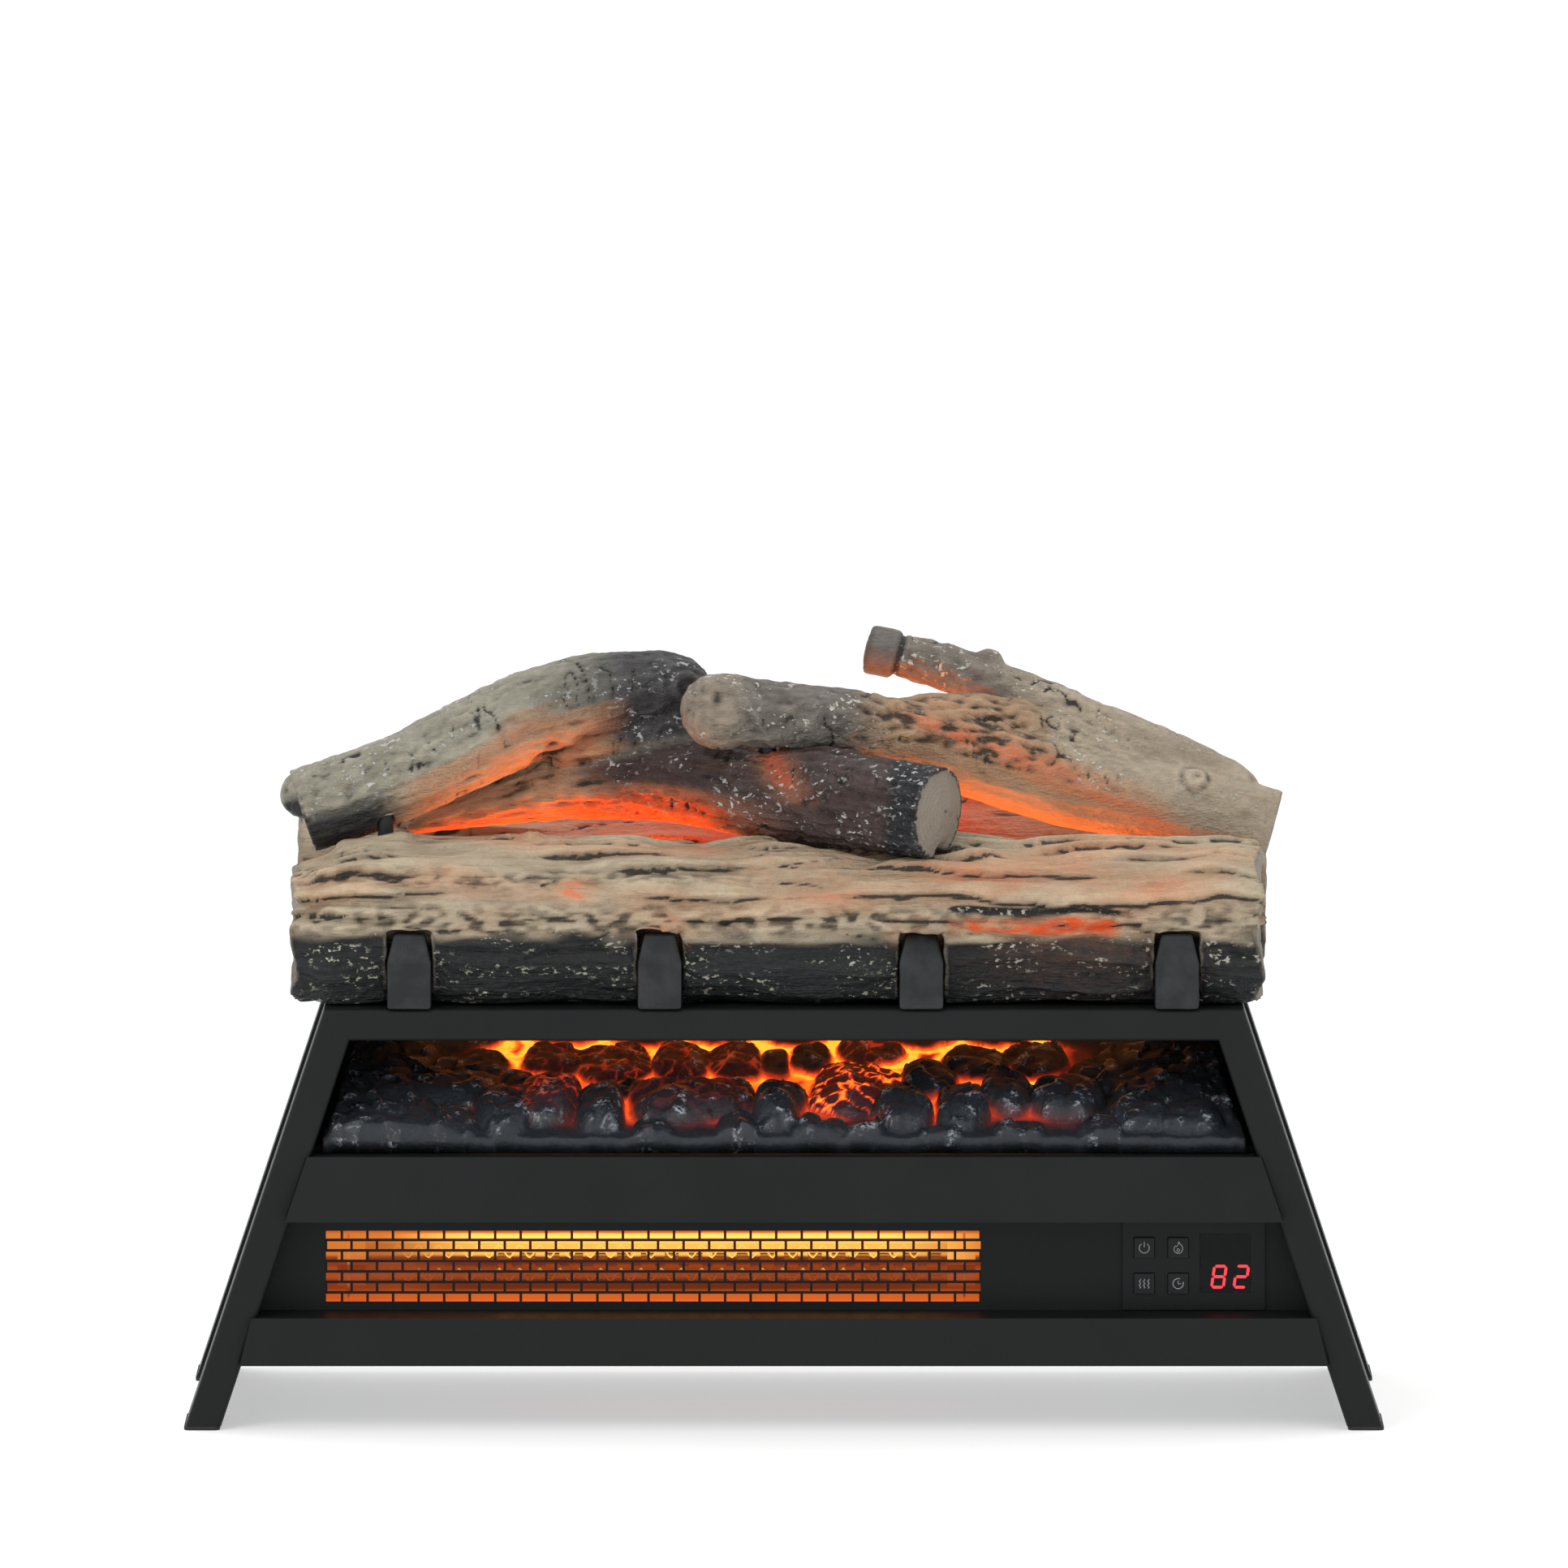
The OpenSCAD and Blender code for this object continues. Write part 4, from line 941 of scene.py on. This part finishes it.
@dataclass
class RightLog(BarkLog):
    """The right log: a long low limb with a rounded tip, and a high limb that runs into its trunk."""

    collar_x: float = 58.0
    knot: Point = (206.0, -24.0, 316.0)
    bump: Point = (105.0, 20.0, 376.0)
    tip_x: float = -22.0

    def carve(self, s: Surface) -> Relief:
        """Return the grey bark, the brown torn middle, the smooth trunk and the light on their undersides."""
        x, z = s.spots[:, 0], s.spots[:, 2]
        down, forward = -s.normals[:, 2], -s.normals[:, 1]
        high = s.share(1, 4.0)
        low = 1 - high
        wobble = s.noise((40, 18, 18))
        push, relief, fleck = self.bark(s)
        fibre = s.noise((40, 2.6, 2.6), 21)
        slant = x - (z - 376) * 0.28
        plain = high * (1 - smooth(slant - self.collar_x, -1, 1))
        groove = high * bell(slant, self.collar_x, 2.6)
        trunk = smooth(x + wobble * 14 - (z - 320) * 0.4, 150, 195)
        belly = low * smooth(x, 40, 85) * smooth(down + 0.25 * forward + wobble * 0.3, 0.1, 0.5)
        torn = low * smooth(x, 30, 62) * (1 - smooth(x + wobble * 12, 118, 142)) * (1 - belly)
        torn = torn * smooth(forward - 0.3 * down, 0.0, 0.5)
        shreds = s.still((13, 10, 3.2), 22)
        calm = np.clip(plain + trunk * 0.6 + belly * 0.85, 0, 1)
        push = push * (1 - calm * 0.85) + fibre * 0.3 * calm + torn * shreds * 1.7
        relief = relief * (1 - calm) + calm * (0.56 + fibre * 0.10) + torn * (shreds * 0.36 - 0.16)
        gap = s.gap(self.knot, 17)
        swell = 1 - smooth(gap, 0, 15)
        rings = np.cos(gap * 1.15 + noise_at(s.spots, 6, 4.0) * 1.5) * swell
        bump = 1 - smooth(s.gap(self.bump, 12), 2, 9)
        tip = low * (1 - smooth(x - self.tip_x, -6, 8))
        edge = low * bell(x + (z - 352) * 0.5, self.tip_x + 9, 3.0) * smooth(forward, -0.2, 0.3)
        tip_rings = np.sin(s.radius + x * 0.6) * tip
        push = push * (1 - tip * 0.5) - groove * 1.6 + swell * 2.0 + rings * 1.1 + bump * 4.0
        sag = low * bell(x, 10, 60) * smooth(down, 0.3, 0.9)
        push = push + plain * 0.8 + tip_rings * 0.1 + edge * 1.2 + sag * 1.6
        relief = relief - groove * 0.55 + rings * 0.4 - swell * 0.1 + tip_rings * 0.05 + edge * 0.2
        ends = self.ends(s)
        sawn = ends * smooth(x, 200, 230)
        push = push * (1 - ends) + ends * s.still(8) * 0.5
        dark = (1 - smooth(x + wobble * 20, 95, 150)) * (1 - belly) * (1 - torn)
        dusk = np.clip(low * dark * (0.88 - 0.5 * tip) + high * dark * (0.72 + 0.2 * plain), 0, 1)
        crease = bell(z - 366 + (x - 50) * 0.46 + wobble * 6, -4, 15) * within(x, (48, 66), (185, 214))
        crease = crease * smooth(forward + 0.4 * down, -0.1, 0.5)
        bare = np.clip(torn + belly * 0.9 * (1 - trunk) + crease * 0.5, 0, 1)
        # Painted fire light on the underside, in the crease and on the torn middle.
        low_fire_light = belly * (0.12 + 0.22 * smooth(down, 0.2, 0.8)) * (1 - smooth(x, 178, 205))
        warm = crease * 0.5 + low_fire_light + torn * 0.10
        edge_line = sawn * smooth(s.radius, 18.0, 19.5)
        fleck = fleck * (1 - plain) * (1 - belly) * (1 - torn * 0.7) * (1 - trunk * 0.7) * (1 - ends)
        char = np.clip(edge_line + high * bell(slant, self.collar_x - 16, 2.0) * 0.4, 0, 1)
        return Relief(push, relief, char, warm * (1 - sawn), fleck, sawn * (1 - edge_line), dusk, bare)


# ---------------------------------------------------------------- embers


@dataclass
class Coal:
    """One coal: its middle, half-sizes, height and turn, in millimetres and degrees."""

    x: float
    y: float
    rx: float
    ry: float
    rise: float
    turn: float = 0.0
    square: float = 2.6
    heat: float = 0.0


@dataclass
class EmberBed:
    """The sloping bed of coals, as one fine skin over the frame's ember bed."""

    node: str = "ember_bed"
    step: float = 1.15
    under: float = 7.0
    rear_y: float = -45.0
    glow_rise: Span = (-166.0, -136.0)
    glow_fall: Span = (128.0, 160.0)
    coals: Sequence[Coal] = (
        Coal(-192, -62, 46, 19, 15, 3, 3.4), Coal(-196, -92, 40, 15, 12, -3, 3.4),
        Coal(-205, -25, 30, 18, 10), Coal(-142, -82, 12, 20, 15, 12), Coal(-160, -35, 20, 14, 9, 20),
        Coal(-118, -72, 15, 21, 18, -10, 2.4, 0.5), Coal(-92, -80, 11, 19, 17, 0, 3.0),
        Coal(-45, -72, 29, 17, 15, 8, 4.5, 0.25), Coal(-3, -78, 12, 20, 18, -12),
        Coal(36, -58, 21, 24, 11, -8, 3.0, 1.0), Coal(59, -80, 13, 18, 17, 10),
        Coal(89, -80, 12, 17, 16, -8), Coal(112, -66, 13, 17, 17, 14, 2.3),
        Coal(141, -70, 17, 17, 17, -14, 3.2), Coal(73, -48, 13, 15, 13, 5), Coal(-24, -97, 10, 9, 9),
        Coal(17, -97, 13, 8, 8), Coal(40, -99, 10, 6, 7), Coal(-66, -98, 9, 8, 6),
        Coal(-86, -30, 17, 17, 9, 4, 3.2, 0.35), Coal(-52, -30, 13, 17, 10, -8, 2.6, 0.35),
        Coal(-24, -28, 12, 16, 10, 6, 3.0, 0.35), Coal(-4, -30, 6, 13, 7), Coal(14, -24, 9, 12, 8, 0, 3.2),
        Coal(44, -16, 14, 13, 8, 10, 2.6, 0.4), Coal(97, -30, 15, 15, 9, -10), Coal(127, -26, 13, 16, 9, 8),
        Coal(-116, -26, 13, 14, 9, -16, 3.2, 0.3), Coal(-75, -58, 10, 9, 6), Coal(-135, -48, 9, 8, 7),
        Coal(178, -84, 15, 14, 12, 10), Coal(203, -88, 16, 13, 12, -8), Coal(190, -56, 24, 16, 13, 4),
        Coal(160, -42, 15, 14, 9), Coal(214, -36, 14, 22, 11), Coal(178, -22, 20, 16, 9),
        Coal(159, -98, 10, 8, 7), Coal(-110, 5, 15, 12, 8), Coal(-70, 4, 15, 12, 8),
        Coal(-32, 6, 14, 11, 8), Coal(6, 4, 13, 12, 8), Coal(70, 4, 14, 12, 8), Coal(108, 5, 15, 12, 8),
        Coal(-165, 2, 20, 13, 8), Coal(150, 4, 16, 12, 8), Coal(222, -72, 8, 14, 9),
        Coal(-222, 0, 8, 14, 8), Coal(118, -98, 12, 7, 6), Coal(80, -101, 10, 5, 5),
    )
    finish: Finish = EmberCoal("ember_coal")

    def shape(self, x: np.ndarray, y: np.ndarray) -> tuple[np.ndarray, np.ndarray, np.ndarray]:
        """Return the coals' rise, the distance outside the nearest coal and the coals' own heat at places."""
        flat = np.stack([x, y, np.zeros_like(x)], axis=1)
        bend_x = noise_at(flat, 14, 2.0) * 2.6
        bend_y = noise_at(flat, 14, 5.0) * 2.6
        rise, outside, heat = np.zeros_like(x), np.full_like(x, 9.0), np.zeros_like(x)
        for coal in self.coals:
            a = math.radians(coal.turn)
            grow = 1.12 if coal.y < self.rear_y else 1.17
            dx, dy = x + bend_x - coal.x, y + bend_y - coal.y
            u = (dx * math.cos(a) + dy * math.sin(a)) / (coal.rx * grow)
            v = (-dx * math.sin(a) + dy * math.cos(a)) / (coal.ry * grow)
            reach = (np.abs(u) ** coal.square + np.abs(v) ** coal.square) ** (1 / coal.square)
            lump = coal.rise * 0.72 * np.clip(1 - reach ** 3.0, 0, 1) ** 0.5
            tilt = 0.18 * np.clip(u, -1, 1) * math.sin(coal.x) + 0.12 * np.clip(v, -1, 1) * math.cos(coal.x)
            lump = lump * (1 + tilt)
            higher = lump > rise
            rise = np.where(higher, lump, rise)
            heat = np.where(higher, coal.heat, heat)
            outside = np.minimum(outside, (reach - 1) * min(coal.rx, coal.ry))
        return rise, outside, heat

    def build(self) -> None:
        """Make the coals from a fine grid laid on the bed's slope, closed underneath."""
        low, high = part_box(self.node)
        low, high = np.array(low) / MM, np.array(high) / MM
        y0, y1 = low[1], high[1]
        spots, _ = read_points(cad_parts[self.node])
        back = spots[spots[:, 1] > y1 - 0.5]
        front = spots[spots[:, 1] < y0 + 0.5]
        base0, base1 = front[:, 2].max(), back[:, 2].min() + self.under
        half0, half1 = np.abs(front[:, 0]).max(), np.abs(back[:, 0]).max()
        nx, ny = int(2 * half0 / self.step), int((y1 - y0) / self.step)
        bpy.ops.mesh.primitive_grid_add(x_subdivisions=nx, y_subdivisions=ny, size=2)
        piece = bpy.context.object
        piece.name = "ember_coals"
        grid, _ = read_points(piece)
        u, v = grid[:, 0] * MM, grid[:, 1] * MM
        share = (v + 1) / 2
        x = u * (half0 + (half1 - half0) * share)
        y = y0 + (y1 - y0) * share
        rise, outside, heat = self.shape(x, y)
        flat = np.stack([x, y, rise * 0.5], axis=1)
        facets = facets_at(flat, (10, 9, 8), 4.0)
        crags = noise_at(flat, (9, 7, 7), 1.0)
        fine = noise_at(flat, (3.2, 2.6, 2.6), 6.0)
        body = smooth(rise, 0.5, 5)
        lift = rise + body * (facets * 2.6 + crags * 0.5 + fine * 0.22)
        lift = lift + (1 - body) * (noise_at(flat, 7, 8.0) * 1.0 + fine * 0.4 + 0.6)
        edge = smooth(np.minimum(1 - np.abs(u), 1 - np.abs(v)), 0, 0.02)
        z = base0 + (base1 - base0) * share + lift * edge
        write_points(piece, np.stack([x, y, z], axis=1))
        middle = smooth(x + noise_at(flat, 25, 3.0) * 12, *self.glow_rise)
        middle = middle * (1 - smooth(x + noise_at(flat, 25, 9.0) * 12, *self.glow_fall))
        deep = smooth(y + noise_at(flat, 18, 7.0) * 9, -98, -74)
        far = smooth(y, -75, -15)
        gap = smooth(outside, -1.6, 1.3)
        glow_amount = gap * (1 - smooth(outside, 3.0, 7.0) * 0.75)
        glow_amount = glow_amount * (0.74 + 0.38 * far + noise_at(flat, 16, 12.0) * 0.35)
        veins = (1 - smooth(np.abs(noise_at(flat, (9, 6, 6), 14.0)), 0.02, 0.14)) * heat
        glow = middle * deep * np.maximum(glow_amount, veins * 0.8 + heat * 0.12)
        store(piece, "glow", np.clip(glow, 0, 1))
        store(piece, "ridge", np.clip(smooth(facets + crags * 0.5 + fine * 0.3, 0.05, 0.5) * body, 0, 1))
        choose(piece)
        bpy.ops.object.mode_set(mode="EDIT")
        bpy.ops.mesh.select_all(action="SELECT")
        bpy.ops.mesh.extrude_region_move(TRANSFORM_OT_translate={"value": (0, 0, -self.under * MM)})
        bpy.ops.mesh.select_all(action="SELECT")
        bpy.ops.mesh.normals_make_consistent(inside=False)
        bpy.ops.object.mode_set(mode="OBJECT")
        bpy.ops.object.shade_smooth()
        paint(piece, self.finish.build())
        ride(piece, STAND, "ember_resin", self.node)


# ---------------------------------------------------------------- key marks


@dataclass
class KeyMark:
    """A raised line mark on one key, drawn as strokes about the key's middle."""

    body: str
    node: str
    strokes: Sequence[Sequence[Span]]
    width: float = 0.5
    proud: float = 0.06
    ink: Finish = MouldedPlastic("mark_grey", (0.30, 0.31, 0.315), 0.5)

    def build(self) -> None:
        """Make the strokes as thin rods sunk in the key's face."""
        low, high = (np.array(c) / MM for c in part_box(self.node))
        middle = (low + high) / 2
        curve = bpy.data.curves.new(self.node + "_mark", "CURVE")
        curve.dimensions = "3D"
        curve.bevel_depth = self.width / 2 * MM
        curve.bevel_resolution = 2
        curve.use_fill_caps = True
        for stroke in self.strokes:
            line = curve.splines.new("POLY")
            line.points.add(len(stroke) - 1)
            for point, (x, z) in zip(line.points, stroke):
                point.co = ((middle[0] + x) * MM, (low[1] + self.proud) * MM, (middle[2] + z) * MM, 1)
        piece = bpy.data.objects.new(self.node + "_mark", curve)
        bpy.context.scene.collection.objects.link(piece)
        choose(piece)
        bpy.ops.object.convert(target="MESH")
        piece = bpy.context.object
        paint(piece, self.ink.build())
        ride(piece, self.body, "control_plastic")


def arc(radius: float, start: float, end: float, steps: int = 14) -> list[Span]:
    """Return points on an arc, angles in degrees from +X."""
    angles = [math.radians(start + (end - start) * i / steps) for i in range(steps + 1)]
    return [(radius * math.cos(a), radius * math.sin(a)) for a in angles]


def wave(x: float) -> list[Span]:
    """Return a rising wavy stroke at a place across the key."""
    return [(x + 0.45 * math.sin(t * 1.9), -2.4 + t * 0.6) for t in range(9)]


FLAME_OUTER = (
    (0.3, 3.2), (0.9, 2.0), (2.0, 0.9), (2.3, -0.6), (1.6, -2.1), (0.2, -2.8), (-1.4, -2.3),
    (-2.2, -0.9), (-1.9, 0.5), (-1.2, 1.3), (-0.9, 0.4), (-0.2, 1.6), (0.3, 3.2))
FLAME_INNER = ((0.1, -0.2), (0.8, -1.2), (0.2, -2.0), (-0.7, -1.5), (-0.6, -0.7), (0.1, -0.2))

KEY_MARKS = (
    KeyMark("power_key", "key_power", (arc(2.5, 125, 415), ((0, 0.4), (0, 3.1)))),
    KeyMark("flame_key", "key_flame", (FLAME_OUTER, FLAME_INNER)),
    KeyMark("heat_key", "key_heat", (wave(-2.1), wave(0.0), wave(2.1))),
    KeyMark("timer_key", "key_timer", (arc(2.6, 70, 380), ((0, 1.6), (0, -0.1), (1.5, -0.1)))),
)


# ---------------------------------------------------------------- the fire


DRESSINGS = (
    Dressing(PowderCoat("satin_black_coat"), (
        "front_top_rail", "rear_top_rail", "brow_strip", "lower_strip", "top_deck", "front_leg_left",
        "front_leg_right", "rear_leg_left", "rear_leg_right", "left_side_panel", "right_side_panel",
        "back_panel", "front_panel")),
    Dressing(PlainSteel("galvanised_sheet"), (
        "base_pan", "light_shelf", "ember_supports", "flame_mask", "case_screws")),
    Dressing(MouldedPlastic("foot_rubber", (0.012, 0.012, 0.012), 0.7), ("foot_pads",), Edge.SHEET),
    Dressing(CastIron("cast_grate"), ("grate",), Edge.CAST),
    Dressing(CastIron("cast_grate"), ("log_pegs",)),
    Dressing(MouldedPlastic("gland_nylon", (0.016, 0.016, 0.017), 0.4), ("cord_gland",), Edge.SHEET),
    # Painted light from the lit tube on the grille, the trough, its brackets, the blower and the coils.
    Dressing(TubeLitGrille("tube_lit_grille"), ("heater_grille",)),
    Dressing(TubeLitTrough("tube_lit_reflector"), (
        "reflector", "tube_end_caps", "tube_brackets", "blower_housing", "blower_wheel")),
    Dressing(TubeLitTrough("glowing_and_tube_lit_coils", lit_z=0.0845, half=0.009), ("heating_coils",)),
    Dressing(ClearPane("quartz", (0.30, 0.09, 0.03), 0.10, 0.08), ("quartz_tubes",)),
    Dressing(MouldedPlastic("white_ceramic", (0.62, 0.58, 0.5), 0.6, 1.15), ("thermal_cutout",)),
    Dressing(PlainSteel("bracket_steel", (0.5, 0.5, 0.5), 0.35), ("flicker_brackets",)),
    Dressing(PlainSteel("stamped_aluminium", (0.72, 0.73, 0.74), 0.3), ("flicker_petals",)),
    Dressing(PlainSteel("ground_shaft", (0.62, 0.62, 0.62), 0.22), ("blower_shaft", "flicker_shaft")),
    Dressing(PlainSteel("motor_can", (0.3, 0.31, 0.32), 0.4), ("blower_motor", "flicker_motor")),
    Dressing(PlainSteel("sintered_bronze", (0.45, 0.32, 0.15), 0.5), ("blower_bearing",)),
    Dressing(PowderCoat("panel_black", (0.0085, 0.0100, 0.0104), 0.40), ("control_fascia",), Edge.FINE),
    Dressing(MouldedPlastic("key_black", (0.0095, 0.0108, 0.0114), 0.42, gloss=0.2), (
        "key_power", "key_flame", "key_heat", "key_timer"), Edge.SHEET),
    Dressing(ClearPane("smoked_lens", (0.005, 0.0058, 0.0062), 0.80, 0.16), ("display_lens",)),
    Dressing(MouldedPlastic("component_black", (0.012, 0.012, 0.013), 0.35), (
        "display_module", "ir_receiver", "tact_switches", "board_parts")),
    Dressing(Lamp("red_digits", (1.0, 0.035, 0.050), 60.0), ("display_digits",)),
    Dressing(CircuitBoard("green_board"), ("control_board", "power_board")),
    Dressing(CircuitBoard("white_board", (0.4, 0.39, 0.36)), ("led_board",)),
    Dressing(Lamp("amber_lamps", (1.0, 0.4, 0.08), 6.0, (0.4, 0.2, 0.1)), ("led_lamps",)),
    Dressing(Lamp("glow_pane", (1.0, 0.30, 0.06), 0.45, (0.5, 0.2, 0.08)), ("glow_window",)),
    Dressing(ClearPane("projector_pane", (0.30, 0.33, 0.35), 0.55, 0.1), ("projection_window",)),
)

FRONT_LINE = ((-245, -70, 250, 40), (238, -70, 250, 40))
REAR_LINE = ((-246, 62, 256, 44), (244, 62, 256, 44))
LEFT_LIMB = (
    (-242, -36, 303, 22), (-190, -33, 321, 22), (-130, -24, 349, 23), (-85, -14, 360, 22), (-56, -6, 360, 20))
LEFT_STUB = ((-242, -14, 309, 12), (-215, -16, 316, 12))
LEFT_FORK = (
    (76, -92, 308, 24), (40, -70, 311, 24), (0, -46, 311, 23), (-35, -28, 316, 23), (-70, -14, 318, 22),
    (-110, -10, 314, 18), (-150, -10, 305, 12), (-186, -10, 293, 5))
LEFT_WEB = ((-118, -14, 330, 13), (-80, -12, 338, 18), (-48, -12, 338, 17))
LOW_LIMB = (
    (246, -14, 292, 20), (200, -13, 304, 21), (140, -15, 315, 22), (86, -24, 332, 20), (34, -38, 348, 17),
    (-8, -50, 354, 17), (-33, -52, 355, 19))
HIGH_LIMB = (
    (43, 34, 378, 12), (66, 30, 373, 12), (98, 22, 364, 13), (145, 12, 343, 16), (190, 4, 321, 20),
    (222, -3, 305, 20))
RIGHT_WEB = ((54, -28, 345, 13), (95, -10, 346, 15), (140, 0, 333, 17), (185, 0, 316, 17))

TAN = PaintedLog(
    "split_wood_tan", (0.053, 0.045, 0.035), (0.325, 0.265, 0.185), (0.52, 0.435, 0.31), (0.46, 0.44, 0.36),
    dusk=(0.10, 0.085, 0.060), fibre=(14, 1, 1))
# The rear log, behind the embers, takes redder painted fire light.
LIT = replace(TAN, name="split_wood_lit", warm=(0.80, 0.085, 0.018), faint_fire_light=(0.72, 0.24, 0.11))
BARK = PaintedLog(
    "grey_bark", (0.036, 0.031, 0.027), (0.29, 0.24, 0.175), (0.47, 0.39, 0.29), (0.60, 0.58, 0.50),
    dusk=(0.104, 0.095, 0.087), fibre=(3, 1, 1))
BURNT = PaintedLog(
    "burning_bark", (0.030, 0.030, 0.028), (0.25, 0.235, 0.185), (0.40, 0.375, 0.29), (0.60, 0.61, 0.60),
    dusk=(0.047, 0.045, 0.047), char=(0.012, 0.0130, 0.0155), fibre=(4, 1, 1))

LOGS = (
    FrontLog("front_log", (FRONT_LINE,), TAN, "log_tan", 1.5, 1.0),
    SplitLog("rear_log", (REAR_LINE,), LIT, "log_tan", 1.9, 21.0, char_top=236.0, glow_top=0.0),
    LeftLog("left_log", (LEFT_LIMB, LEFT_STUB, LEFT_FORK, LEFT_WEB), BURNT, "log_charred", 1.2, 31.0),
    RightLog("right_log", (LOW_LIMB, HIGH_LIMB, RIGHT_WEB), BARK, "log_bark", 1.2, 51.0),
)


# ---------------------------------------------------------------- studio


@dataclass(frozen=True)
class Softbox:
    """One rectangular area light."""

    name: str
    spot: Point
    size: Span
    power: float
    aim: Point = (0, -0.05, 0.2)
    colour: Colour = (1.0, 0.99, 0.98)

    def build(self) -> None:
        """Add the light and aim it."""
        bpy.ops.object.light_add(type="AREA", location=self.spot)
        lamp = bpy.context.object
        lamp.name = self.name
        lamp.data.shape = "RECTANGLE"
        lamp.data.size, lamp.data.size_y = self.size
        lamp.data.energy = self.power
        lamp.data.color = self.colour
        lamp.rotation_euler = (Vector(self.aim) - Vector(self.spot)).to_track_quat("-Z", "Y").to_euler()


@dataclass
class Studio:
    """The camera, the lights and the floor."""

    target: Point = (0.0, -0.115, 0.325)
    distance: float = 9.0
    height_angle: float = 6.0
    lens: float = 414.9
    sensor: float = 36
    daylight: float = 0.95
    floor_size: float = 60
    floor_glow: float = 0.42
    lights: Sequence[Softbox] = (
        Softbox("key", (-1.6, -2.4, 2.2), (1.2, 1.2), 30),
        Softbox("fill", (2.0, -2.2, 1.2), (1.6, 1.2), 7),
        Softbox("top", (0.0, 0.4, 2.4), (1.6, 0.8), 14),
        Softbox("deck_glow", (0, -0.002, 0.2135), (0.34, 0.036), 0.9, (0, -0.002, 1.0), (1.0, 0.26, 0.05)),
    )

    def camera(self) -> None:
        """Place the camera in front, a little above the fire."""
        a = math.radians(self.height_angle)
        x, y, z = self.target
        spot = (x, y - self.distance * math.cos(a), z + self.distance * math.sin(a))
        bpy.ops.object.camera_add(location=spot, rotation=(math.pi / 2 - a, 0, 0))
        camera = bpy.context.object
        camera.data.lens = self.lens
        camera.data.sensor_width = self.sensor
        bpy.context.scene.camera = camera

    def floor(self) -> None:
        """Lay a plain pale floor."""
        bpy.ops.mesh.primitive_plane_add(size=self.floor_size, location=(0, 0, 0))
        floor = bpy.context.object
        floor.name = "floor"
        s = Shader("pale_floor")
        s.set(Base_Color=(0.62, 0.62, 0.62), Roughness=0.9)
        s.set(Emission_Color=(1.0, 1.0, 1.0), Emission_Strength=self.floor_glow)
        paint(floor, s.material)

    def build(self) -> None:
        """Set up the room."""
        self.camera()
        self.floor()
        world = bpy.data.worlds.new("studio")
        bpy.context.scene.world = world
        world.use_nodes = True
        sky = world.node_tree.nodes["Background"]
        sky.inputs["Color"].default_value = (1, 1, 1, 1)
        sky.inputs["Strength"].default_value = self.daylight
        for light in self.lights:
            light.build()
        bpy.context.scene.view_settings.view_transform = "Standard"


def main() -> None:
    """Build the looks around the frame, in order."""
    logging.basicConfig(level=logging.INFO, format="%(name)s: %(message)s")
    for part in (Studio(), *DRESSINGS, *KEY_MARKS, EmberBed(), *LOGS):
        part.build()


if __name__ == "__main__":
    main()
